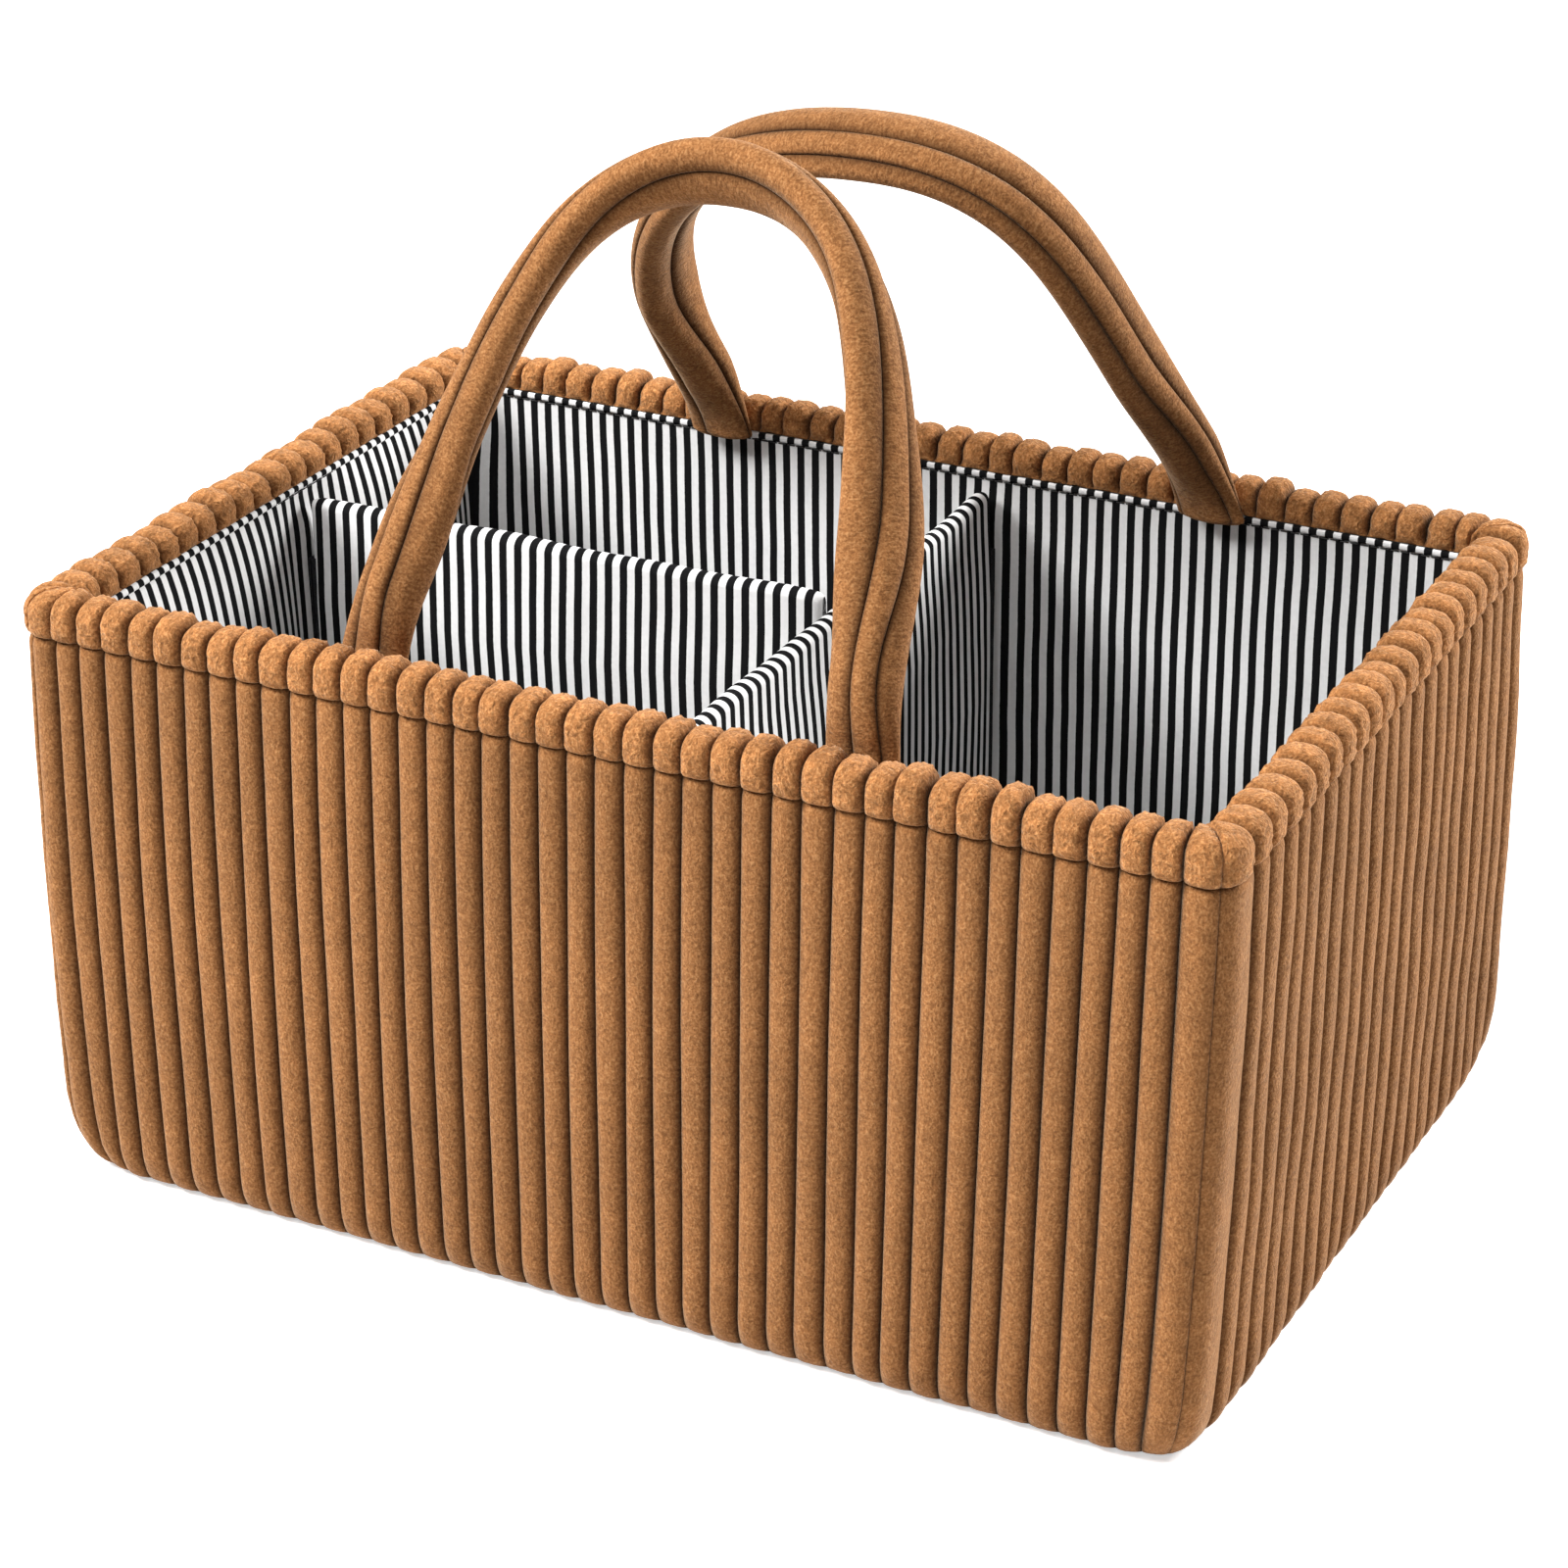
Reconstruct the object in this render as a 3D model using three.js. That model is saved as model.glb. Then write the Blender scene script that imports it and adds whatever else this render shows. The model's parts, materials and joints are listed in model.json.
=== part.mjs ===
// A soft diaper caddy: padded corduroy walls folded over into a puffed rim, a striped lining,
// two lift-out dividers and two stuffed handles. Millimetres, +Z up, front at -Y.
import * as THREE from 'three';

// Overall, measured over the rim puffs
const LENGTH = 380;
const WIDTH = 246;
const HEIGHT = 190;
const CORNER_RADIUS = 10;
const GAP = 0.3;

// Corduroy walls and rim
const FRONT_WALE_PITCH = 8.9;
const SIDE_WALE_PITCH = 10;
const WALE_HEIGHT = 3.4;
const BACKING = 3;
const RIM_BULGE = 0.8;
const RIM_DEPTH = 16.5;
const RIM_DROP = 14;
const HEM_DROP = 10.7;
const HEM_TUCK = 1.6;
const RIM_DIP = 2.6;
const RIM_SHOULDER = 62;
const PINCH_VALLEY = 0.8;
const PINCH_CREST = 2.8;
const PINCH_EASE = 5;
const FOOT_ROUND = 13;
const FOOT_LIFT = 0.6;
const CORNER_EASE = 40;

// Boards and lining
const BOARD = 5;
const LINING = 1.2;
const BASE_CLOTH = 2;
const BASE_BOARD = 4;

// Dividers
const DIVIDER_THICKNESS = 9;
const DIVIDER_CLOTH = 2;
const DIVIDER_SWELL = 0.8;
const DIVIDER_DROP = 16;
const CROSS_DIVIDER_X = 15.5;
const SIDE_DIVIDER_Y = 9.5;

// Hook-and-loop tapes
const LOOP_TAPE = 2;
const HOOK_TAPE = 1.5;
const TAPE_WIDTH = 7;
const TAPE_FLOOR_CLEARANCE = 14;
const TAPE_TOP_CLEARANCE = 20;

// Handles
const PIVOT_INSET = 9.6;
const PIVOT_RISE = 14;
const HANDLE_LEAN = 30;
const FRONT_HANDLE_SPAN = 146;
const FRONT_HANDLE_RISE = 130;
const FRONT_HANDLE_ROUNDNESS = 2;
const FRONT_HANDLE_SHIFT = 1;
const FRONT_HANDLE_WIDE = 12.4;
const FRONT_HANDLE_THIN = 7.6;
const FRONT_HANDLE_TWIST = [24, 62];
const BACK_HANDLE_SPAN = 167;
const BACK_HANDLE_RISE = 118;
const BACK_HANDLE_ROUNDNESS = 2.2;
const BACK_HANDLE_SHIFT = 3;
const BACK_HANDLE_WIDE = 7.4;
const BACK_HANDLE_THIN = 12.2;
const BACK_HANDLE_TWIST = [0, 0];
const HANDLE_LOBES = 6;
const LOBE_DEPTH = 1.6;
const HANDLE_CLOTH = 2;
const HANDLE_SETTLE = 0.2;
const KNUCKLE_RADIUS = 9;
const KNUCKLE_WIDTH = 23;
const KNUCKLE_NARROW = 0.4;
const ROOT_THICKNESS = 4;
const ROOT_TAPER = 0.7;

// Mesh steps of the padded forms
const WALE_STEPS = 3;
const ARCH_STEPS = 14;
const DIVIDER_STEPS = 6;
const ROUND_STEPS = 5;
const KNUCKLE_STEPS = [0.5, 0.8];
const TANGENT_STEP = 0.02;

// Layers of a wall, as depths in from the outermost rim crest
const wallCrest = RIM_BULGE;
const wallValley = wallCrest + WALE_HEIGHT;
const panelInside = wallValley + BACKING;
const boardOutside = panelInside + GAP;
const boardInside = boardOutside + BOARD;
const liningOutside = boardInside + GAP;
const liningInside = liningOutside + LINING;

// Levels, from the floor up
const baseBoardBottom = BASE_CLOTH + GAP;
const baseBoardTop = baseBoardBottom + BASE_BOARD;
const liningBottom = baseBoardTop + GAP;
const floorTop = liningBottom + LINING;
const hemLevel = HEIGHT - HEM_DROP;
const wallTop = hemLevel - GAP;
const dividerBottom = floorTop + GAP;
const dividerTop = HEIGHT - DIVIDER_DROP;
const pivotLevel = HEIGHT + PIVOT_RISE;

// Colours and finishes
const cloth = (color, roughness) => new THREE.MeshStandardMaterial({ color, roughness, metalness: 0 });
const corduroy = cloth(0xb58050, 0.95);
const striped = cloth(0xb9b6b1, 0.9);
const foam = cloth(0xe8e6e0, 0.85);
const stuffing = cloth(0xf3f1ec, 1);
const tape = cloth(0x2a2a2c, 0.9);

const caddy = new THREE.Group();

function addMesh(parent, name, geometry, material) {
  const mesh = new THREE.Mesh(geometry, material);
  mesh.name = name;
  parent.add(mesh);
  return mesh;
}

function addBox(parent, name, material, low, high) {
  const size = high.map((value, axis) => value - low[axis]);
  const mesh = addMesh(parent, name, new THREE.BoxGeometry(...size), material);
  mesh.position.set(...low.map((value, axis) => value + size[axis] / 2));
  return mesh;
}

function solidFrom(points, triangles) {
  const geometry = new THREE.BufferGeometry();
  geometry.setAttribute('position', new THREE.Float32BufferAttribute(points.flat(), 3));
  geometry.setIndex(triangles.flat());
  geometry.computeVertexNormals();
  return geometry;
}

function quad(a, b, c, d) {
  return [[a, b, c], [a, c, d]];
}

// Half the length of a wall at a depth in from its outer line, from its middle to the corner seam
function halfReach(half, depth) {
  const radius = CORNER_RADIUS - depth;
  const seam = GAP * Math.SQRT1_2;
  if (radius <= 0) return half - depth - seam;
  return half - CORNER_RADIUS + radius * Math.PI / 4 - seam;
}

// A point on a wall whose middle is at -Y: along it, in from its outer line, and up
function wallPoint(half, distance, along, depth, level) {
  const easeStart = halfReach(half, 0) - CORNER_EASE;
  const ease = (halfReach(half, depth) - easeStart) / CORNER_EASE;
  const run = Math.abs(along);
  const eased = run <= easeStart ? run : easeStart + (run - easeStart) * ease;
  const radius = CORNER_RADIUS - depth;
  const straight = half - CORNER_RADIUS;
  if (radius <= 0 || eased <= straight) {
    return [Math.sign(along) * eased, depth - distance, level];
  }
  const turn = (eased - straight) / radius;
  const x = straight + radius * Math.sin(turn);
  const inward = CORNER_RADIUS - radius * Math.cos(turn);
  return [Math.sign(along) * x, inward - distance, level];
}

// The wall's outline from the hem inside, over the rim and down to the foot.
// Each row gives depth and level, at a wale's valley and at its crest.
function wallRows() {
  const rimMiddle = HEIGHT - RIM_DROP / 2;
  const shoulder = THREE.MathUtils.degToRad(RIM_SHOULDER);
  const rimRow = (angle) => {
    const across = Math.cos(angle);
    const up = Math.sin(angle) / Math.sin(shoulder);
    const half = RIM_DEPTH / 2;
    const crest = [half - half * across, rimMiddle + RIM_DROP / 2 * up];
    const valley = [half - (half - RIM_DIP) * across, rimMiddle + (RIM_DROP / 2 - RIM_DIP) * up];
    return [valley, crest];
  };
  const level = (valleyDepth, crestDepth, height) => [[valleyDepth, height], [crestDepth, height]];
  const pinchLevel = HEIGHT - RIM_DROP;
  return [
    level(RIM_DEPTH - HEM_TUCK, RIM_DEPTH - HEM_TUCK, hemLevel),
    rimRow(Math.PI),
    rimRow(Math.PI - shoulder),
    rimRow(shoulder),
    rimRow(0),
    level(wallValley + PINCH_VALLEY, wallCrest + PINCH_CREST, pinchLevel),
    level(wallValley, wallCrest, pinchLevel - PINCH_EASE),
    level(wallValley, wallCrest, FOOT_ROUND),
    level(panelInside, panelInside, FOOT_LIFT),
  ];
}

// One corduroy wall with its wales, rim fold, seam ends and flat inside face
function wallPanel(half, distance, pitch) {
  const reach = halfReach(half, 0);
  const columns = WALE_STEPS * Math.round(2 * reach / pitch);
  const rows = wallRows();
  const points = [];
  const triangles = [];
  const along = (column) => reach * (2 * column / columns - 1);
  const crestShare = (column) => (column % WALE_STEPS === 0 ? 0 : 1);
  const gridIndex = (row, column) => row * (columns + 1) + column;
  rows.forEach(([valley, crest]) => {
    for (let column = 0; column <= columns; column += 1) {
      const share = crestShare(column);
      const depth = valley[0] + (crest[0] - valley[0]) * share;
      const level = valley[1] + (crest[1] - valley[1]) * share;
      points.push(wallPoint(half, distance, along(column), depth, level));
    }
  });
  for (let row = 0; row + 1 < rows.length; row += 1) {
    for (let column = 0; column < columns; column += 1) {
      const corners = [
        gridIndex(row, column), gridIndex(row + 1, column),
        gridIndex(row + 1, column + 1), gridIndex(row, column + 1),
      ];
      triangles.push(...quad(...corners));
    }
  }
  // The ledge over the board has only the corners' columns
  const ledge = [];
  for (let column = 0; column <= columns; column += 1) {
    if (column > WALE_STEPS && column < columns - WALE_STEPS) continue;
    ledge.push([column, points.length]);
    points.push(wallPoint(half, distance, along(column), panelInside, hemLevel));
  }
  const stitch = (row, flip) => {
    const add = (a, b, c) => triangles.push(flip ? [a, c, b] : [a, b, c]);
    for (let step = 0; step + 1 < ledge.length; step += 1) {
      const [first, start] = ledge[step];
      const [last, end] = ledge[step + 1];
      const middle = Math.floor((first + last) / 2);
      for (let column = first; column < last; column += 1) {
        add(column < middle ? start : end, gridIndex(row, column), gridIndex(row, column + 1));
      }
      add(start, gridIndex(row, middle), end);
    }
  };
  stitch(0, false);
  stitch(rows.length - 1, true);
  const outline = rows.map(([valley]) => new THREE.Vector2(...valley));
  outline.push(new THREE.Vector2(panelInside, hemLevel));
  const faces = THREE.ShapeUtils.triangulateShape(outline, []);
  const capIndex = (column, corner) => (corner < rows.length
    ? gridIndex(corner, column)
    : ledge[column === 0 ? 0 : ledge.length - 1][1]);
  faces.forEach(([a, b, c]) => {
    triangles.push([a, c, b].map((corner) => capIndex(0, corner)));
    triangles.push([a, b, c].map((corner) => capIndex(columns, corner)));
  });
  return solidFrom(points, triangles);
}

// The four sides, each turned from the front: name, half length, distance from the middle, wale pitch, turn
const SIDES = [
  ['front', LENGTH / 2, WIDTH / 2, FRONT_WALE_PITCH, 0],
  ['right', WIDTH / 2, LENGTH / 2, SIDE_WALE_PITCH, Math.PI / 2],
  ['back', LENGTH / 2, WIDTH / 2, FRONT_WALE_PITCH, Math.PI],
  ['left', WIDTH / 2, LENGTH / 2, SIDE_WALE_PITCH, -Math.PI / 2],
];

function addWalls() {
  SIDES.forEach(([side, half, distance, pitch, turn]) => {
    const wall = new THREE.Group();
    wall.rotation.z = turn;
    caddy.add(wall);
    addMesh(wall, `outer_panel_${side}`, wallPanel(half, distance, pitch), corduroy);
    const boardHalf = half - Math.max(CORNER_RADIUS, boardInside + GAP);
    const boardLow = [-boardHalf, boardOutside - distance, baseBoardBottom];
    addBox(wall, `wall_board_${side}`, foam, boardLow, [boardHalf, boardInside - distance, wallTop]);
    const endsInside = side === 'left' || side === 'right';
    const liningHalf = endsInside ? half - liningInside - GAP : half - liningOutside;
    const liningLow = [-liningHalf, liningOutside - distance, liningBottom];
    addBox(wall, `lining_${side}`, striped, liningLow, [liningHalf, liningInside - distance, wallTop]);
  });
}

// A rounded rectangle that lies a depth in from the outer line
function baseOutline(depth) {
  const x = LENGTH / 2 - depth;
  const y = WIDTH / 2 - depth;
  const radius = Math.max(CORNER_RADIUS - depth, GAP);
  const shape = new THREE.Shape();
  shape.absarc(x - radius, y - radius, radius, 0, Math.PI / 2);
  shape.absarc(radius - x, y - radius, radius, Math.PI / 2, Math.PI);
  shape.absarc(radius - x, radius - y, radius, Math.PI, Math.PI * 1.5);
  shape.absarc(x - radius, radius - y, radius, Math.PI * 1.5, Math.PI * 2);
  return shape;
}

function addBase() {
  const options = { depth: BASE_CLOTH, bevelEnabled: false, curveSegments: ROUND_STEPS };
  addMesh(caddy, 'outer_base', new THREE.ExtrudeGeometry(baseOutline(boardOutside), options), corduroy);
  const board = [LENGTH / 2 - liningOutside, WIDTH / 2 - liningOutside];
  const boardLow = [-board[0], -board[1], baseBoardBottom];
  addBox(caddy, 'base_board', foam, boardLow, [...board, baseBoardTop]);
  const floor = [LENGTH / 2 - liningInside - GAP, WIDTH / 2 - liningInside - GAP];
  addBox(caddy, 'lining_floor', striped, [-floor[0], -floor[1], liningBottom], [...floor, floorTop]);
}

// A divider's section across its thickness: a sleeve with a round top, open below, or the board inside it
function dividerOutline(half, top) {
  const points = [];
  for (let step = 0; step <= ROUND_STEPS; step += 1) {
    const angle = Math.PI * step / ROUND_STEPS;
    points.push(new THREE.Vector2(half * Math.cos(angle), top - half + half * Math.sin(angle)));
  }
  points.push(new THREE.Vector2(-half, dividerBottom));
  points.unshift(new THREE.Vector2(half, dividerBottom));
  return points;
}

// A divider lies along Y from start to end, and swells between its ends
function dividerBody(outline, start, end) {
  const length = end - start;
  const options = { depth: length, steps: DIVIDER_STEPS, bevelEnabled: false };
  const geometry = new THREE.ExtrudeGeometry(new THREE.Shape(outline), options);
  const position = geometry.attributes.position;
  for (let index = 0; index < position.count; index += 1) {
    const share = position.getZ(index) / length;
    const swell = 1 + 2 * DIVIDER_SWELL / DIVIDER_THICKNESS * 4 * share * (1 - share);
    const across = position.getX(index) * swell;
    position.setXYZ(index, across, end - position.getZ(index), position.getY(index));
  }
  geometry.computeVertexNormals();
  return geometry;
}

// One divider along Y: its cloth sleeve, its board and a hook tape on each end
function addDivider(parent, name, start, end, tapeNames) {
  const outer = DIVIDER_THICKNESS / 2;
  const inner = outer - DIVIDER_CLOTH;
  const core = inner - GAP;
  const innerTop = dividerTop - DIVIDER_CLOTH;
  const sleeve = [...dividerOutline(outer, dividerTop), ...dividerOutline(inner, innerTop).reverse()];
  addMesh(parent, `${name}_cover`, dividerBody(sleeve, start, end), striped);
  const board = dividerOutline(core, innerTop - GAP);
  addMesh(parent, `${name}_board`, dividerBody(board, start + GAP, end - GAP), foam);
  const low = dividerBottom + TAPE_FLOOR_CLEARANCE;
  const high = dividerTop - TAPE_TOP_CLEARANCE;
  const half = TAPE_WIDTH / 2;
  const nearEnd = start - GAP;
  addBox(parent, `${name}_${tapeNames[0]}`, tape, [-half, nearEnd - HOOK_TAPE, low], [half, nearEnd, high]);
  const farEnd = end + GAP;
  addBox(parent, `${name}_${tapeNames[1]}`, tape, [-half, farEnd, low], [half, farEnd + HOOK_TAPE, high]);
}

function addDividers() {
  const low = dividerBottom + TAPE_FLOOR_CLEARANCE;
  const high = dividerTop - TAPE_TOP_CLEARANCE;
  const half = TAPE_WIDTH / 2;
  const loopFace = liningInside + GAP + LOOP_TAPE;
  const seat = Math.max(loopFace, RIM_DEPTH) + GAP;
  const endGap = HOOK_TAPE + GAP;

  const cross = new THREE.Group();
  cross.position.x = CROSS_DIVIDER_X;
  caddy.add(cross);
  const crossHalf = WIDTH / 2 - seat - endGap;
  addDivider(cross, 'cross_divider', -crossHalf, crossHalf, ['hook_front', 'hook_back']);
  const wallY = WIDTH / 2 - liningInside - GAP;
  addBox(cross, 'loop_tape_front', tape, [-half, -wallY, low], [half, LOOP_TAPE - wallY, high]);
  addBox(cross, 'loop_tape_back', tape, [-half, wallY - LOOP_TAPE, low], [half, wallY, high]);

  // The side divider runs from the left wall to the cross divider's left face
  const side = new THREE.Group();
  side.position.y = SIDE_DIVIDER_Y;
  side.rotation.z = -Math.PI / 2;
  caddy.add(side);
  const share = (SIDE_DIVIDER_Y + crossHalf) / (2 * crossHalf);
  const swollen = DIVIDER_THICKNESS / 2 + DIVIDER_SWELL * 4 * share * (1 - share);
  const crossFace = CROSS_DIVIDER_X - swollen - GAP;
  const loopSide = crossFace - LOOP_TAPE;
  const start = seat + endGap - LENGTH / 2;
  const end = loopSide - GAP - endGap;
  addDivider(side, 'side_divider', start, end, ['hook_left', 'hook_right']);
  const wallX = liningInside + GAP - LENGTH / 2;
  addBox(side, 'loop_tape_left', tape, [-half, wallX, low], [half, wallX + LOOP_TAPE, high]);
  addBox(side, 'loop_tape_cross', tape, [-half, loopSide, low], [half, crossFace, high]);
}

// A handle's stations from its right knuckle over the arch to its left one, in the plane of the arch.
// Each has its centre, its outward direction, its two half sizes and the turn of its section.
function handleStations({ span, rise, roundness, wide, thin, twist }, trim) {
  const half = span / 2;
  const power = 2 / roundness;
  const at = (angle) => [
    half * Math.sign(Math.cos(angle)) * Math.abs(Math.cos(angle)) ** power,
    rise * Math.sin(angle) ** power,
  ];
  const stations = [];
  for (let step = 0; step <= ARCH_STEPS; step += 1) {
    const angle = Math.PI * step / ARCH_STEPS;
    const inArch = step > 0 && step < ARCH_STEPS;
    const before = at(Math.max(angle - TANGENT_STEP, 0));
    const after = at(Math.min(angle + TANGENT_STEP, Math.PI));
    const tangent = new THREE.Vector2(after[0] - before[0], after[1] - before[1]).normalize();
    const share = step / ARCH_STEPS;
    const settle = Math.min(share, 1 - share) / HANDLE_SETTLE;
    const full = THREE.MathUtils.smoothstep(settle, 0, 1);
    stations.push({
      centre: inArch ? at(angle) : [Math.sign(Math.cos(angle)) * half, 0],
      outward: inArch ? [tangent.y, -tangent.x] : [Math.sign(Math.cos(angle)), 0],
      wide: THREE.MathUtils.lerp(KNUCKLE_WIDTH / 2, wide, full),
      thin: THREE.MathUtils.lerp(KNUCKLE_RADIUS, thin, full),
      turn: full * THREE.MathUtils.degToRad(THREE.MathUtils.lerp(...twist, share)),
    });
  }
  // Below the pivot the leg rounds off about the pivot's axis
  const knuckle = (station) => KNUCKLE_STEPS.map((share, step) => {
    const drop = share * KNUCKLE_RADIUS - (step + 1 === KNUCKLE_STEPS.length ? trim : 0);
    const narrow = Math.sqrt(1 - share * share);
    const wideHere = station.wide * THREE.MathUtils.lerp(1, narrow, KNUCKLE_NARROW);
    return { ...station, centre: [station.centre[0], -drop], thin: KNUCKLE_RADIUS * narrow, wide: wideHere };
  });
  const right = knuckle(stations[0]).reverse();
  const left = knuckle(stations[ARCH_STEPS]);
  return [...right, ...stations, ...left];
}

// A ring of points round a station, drawn in by an inset, at the given angles
function handleRing(station, angles, inset) {
  return angles.map((angle, step) => {
    const a = (station.wide - inset(step)) * Math.cos(angle);
    const b = (station.thin - inset(step)) * Math.sin(angle);
    const across = a * Math.cos(station.turn) - b * Math.sin(station.turn);
    const out = a * Math.sin(station.turn) + b * Math.cos(station.turn);
    const x = station.centre[0] + station.outward[0] * across;
    const z = station.centre[1] + station.outward[1] * across;
    return [x, out, z];
  });
}

// The outside has a valley and a crest for each wale, and the bore has a corner under each crest
const lobe = 2 * Math.PI / HANDLE_LOBES;
const outsideAngles = Array.from({ length: 2 * HANDLE_LOBES }, (_, step) => step * lobe / 2);
const boreAngles = Array.from({ length: HANDLE_LOBES }, (_, step) => (step + 0.5) * lobe);
const boreInset = LOBE_DEPTH + HANDLE_CLOTH;

function tubeFaces(rings, count, offset, flip) {
  const faces = [];
  for (let ring = 0; ring + 1 < rings; ring += 1) {
    for (let step = 0; step < count; step += 1) {
      const next = (step + 1) % count;
      const a = offset + ring * count;
      const b = a + count;
      const outside = [a + step, a + next, b + next, b + step];
      const inside = [a + step, b + step, b + next, a + next];
      faces.push(...quad(...(flip ? inside : outside)));
    }
  }
  return faces;
}

function handleCover(handle) {
  const stations = handleStations(handle, 0);
  const valley = (step) => (step % 2 === 0 ? LOBE_DEPTH : 0);
  const outer = stations.flatMap((station) => handleRing(station, outsideAngles, valley));
  const inner = stations.flatMap((station) => handleRing(station, boreAngles, () => boreInset));
  const around = outsideAngles.length;
  const faces = tubeFaces(stations.length, around, 0, false);
  faces.push(...tubeFaces(stations.length, HANDLE_LOBES, outer.length, true));
  // The two open ends, from the outside to the bore
  [0, stations.length - 1].forEach((ring) => {
    const outside = (step) => ring * around + step % around;
    const bore = (step) => outer.length + ring * HANDLE_LOBES + step % HANDLE_LOBES;
    const add = (a, b, c) => faces.push(ring === 0 ? [a, b, c] : [a, c, b]);
    for (let step = 0; step < HANDLE_LOBES; step += 1) {
      add(bore(step), outside(2 * step + 1), outside(2 * step));
      add(bore(step), outside(2 * step + 2), outside(2 * step + 1));
      add(bore(step), bore(step + 1), outside(2 * step + 2));
    }
  });
  return solidFrom([...outer, ...inner], faces);
}

function handleCore(handle) {
  const stations = handleStations(handle, GAP);
  const inset = () => boreInset + GAP;
  const points = stations.flatMap((station) => handleRing(station, boreAngles, inset));
  const faces = tubeFaces(stations.length, HANDLE_LOBES, 0, false);
  const last = (stations.length - 1) * HANDLE_LOBES;
  for (let step = 1; step + 1 < HANDLE_LOBES; step += 1) {
    faces.push([0, step + 1, step]);
    faces.push([last, last + step, last + step + 1]);
  }
  return solidFrom(points, faces);
}

// The flat sewn end of a handle, from the hem up to just under its knuckle, narrower at the hem
function handleRoot() {
  const top = pivotLevel - KNUCKLE_RADIUS - GAP;
  const shape = new THREE.Shape();
  shape.moveTo(GAP, hemLevel);
  shape.lineTo(GAP + ROOT_THICKNESS, hemLevel);
  shape.quadraticCurveTo(PIVOT_INSET, hemLevel + ROOT_THICKNESS, PIVOT_INSET + KNUCKLE_RADIUS / 2, top);
  shape.lineTo(PIVOT_INSET - KNUCKLE_RADIUS / 2, top);
  shape.lineTo(GAP, HEIGHT - RIM_DROP / 4);
  shape.closePath();
  const options = { depth: KNUCKLE_WIDTH, steps: 2, bevelEnabled: false, curveSegments: 4 };
  const geometry = new THREE.ExtrudeGeometry(shape, options);
  const position = geometry.attributes.position;
  for (let index = 0; index < position.count; index += 1) {
    const rise = (position.getY(index) - hemLevel) / (top - hemLevel);
    const narrow = THREE.MathUtils.lerp(ROOT_TAPER, 1, rise);
    const x = (position.getZ(index) - KNUCKLE_WIDTH / 2) * narrow;
    position.setXYZ(index, x, position.getX(index), position.getY(index));
  }
  geometry.computeVertexNormals();
  return geometry;
}

// A handle on the wall at -Y, turned round for the back one
function addHandle(side, handle, turn) {
  const place = new THREE.Group();
  place.rotation.z = turn;
  caddy.add(place);
  const inside = RIM_DEPTH - WIDTH / 2;
  const arch = new THREE.Group();
  arch.position.set(handle.shift, inside + PIVOT_INSET, pivotLevel);
  arch.rotation.x = -THREE.MathUtils.degToRad(HANDLE_LEAN);
  place.add(arch);
  addMesh(arch, `${side}_handle_cover`, handleCover(handle), corduroy);
  addMesh(arch, `${side}_handle_core`, handleCore(handle), stuffing);
  const ends = turn === 0 ? ['left', 'right'] : ['right', 'left'];
  ends.forEach((end, index) => {
    const root = addMesh(place, `${side}_handle_${end}_root`, handleRoot(), corduroy);
    root.position.set(handle.shift + (index - 0.5) * handle.span, inside, 0);
  });
}

function addHandles() {
  addHandle('front', {
    span: FRONT_HANDLE_SPAN,
    rise: FRONT_HANDLE_RISE,
    roundness: FRONT_HANDLE_ROUNDNESS,
    shift: FRONT_HANDLE_SHIFT,
    wide: FRONT_HANDLE_WIDE,
    thin: FRONT_HANDLE_THIN,
    twist: FRONT_HANDLE_TWIST,
  }, 0);
  addHandle('back', {
    span: BACK_HANDLE_SPAN,
    rise: BACK_HANDLE_RISE,
    roundness: BACK_HANDLE_ROUNDNESS,
    shift: -BACK_HANDLE_SHIFT,
    wide: BACK_HANDLE_WIDE,
    thin: BACK_HANDLE_THIN,
    twist: BACK_HANDLE_TWIST,
  }, Math.PI);
}

addBase();
addWalls();
addDividers();
addHandles();

export default caddy;
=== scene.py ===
import json
import math

import bpy
import numpy as np
from bpy.props import FloatProperty, FloatVectorProperty, IntProperty, PointerProperty
from mathutils import Matrix, Vector


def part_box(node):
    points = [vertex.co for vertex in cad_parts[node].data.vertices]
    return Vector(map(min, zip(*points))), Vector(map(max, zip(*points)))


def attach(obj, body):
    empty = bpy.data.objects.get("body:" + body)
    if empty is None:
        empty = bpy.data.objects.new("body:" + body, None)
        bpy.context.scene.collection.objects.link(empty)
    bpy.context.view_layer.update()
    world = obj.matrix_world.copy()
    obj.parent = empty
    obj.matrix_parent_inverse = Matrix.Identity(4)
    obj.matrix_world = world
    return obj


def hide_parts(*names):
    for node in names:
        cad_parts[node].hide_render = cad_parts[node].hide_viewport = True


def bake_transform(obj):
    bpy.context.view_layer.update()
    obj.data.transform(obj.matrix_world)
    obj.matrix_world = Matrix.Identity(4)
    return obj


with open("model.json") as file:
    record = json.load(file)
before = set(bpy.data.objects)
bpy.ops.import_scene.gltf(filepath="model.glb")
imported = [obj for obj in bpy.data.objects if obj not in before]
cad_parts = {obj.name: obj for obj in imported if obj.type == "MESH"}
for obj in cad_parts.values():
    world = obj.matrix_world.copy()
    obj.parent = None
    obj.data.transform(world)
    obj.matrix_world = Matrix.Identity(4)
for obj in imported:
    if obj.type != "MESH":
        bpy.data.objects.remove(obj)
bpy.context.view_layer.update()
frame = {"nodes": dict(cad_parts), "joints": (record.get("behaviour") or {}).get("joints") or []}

bl_info = {
    "name": "Corduroy Caddy",
    "version": (1, 0, 0),
    "blender": (4, 5, 0),
    "location": "View3D > Sidebar > Caddy",
    "description": "Models a padded corduroy caddy with striped dividers and stuffed handles",
    "category": "Add Mesh",
}

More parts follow.
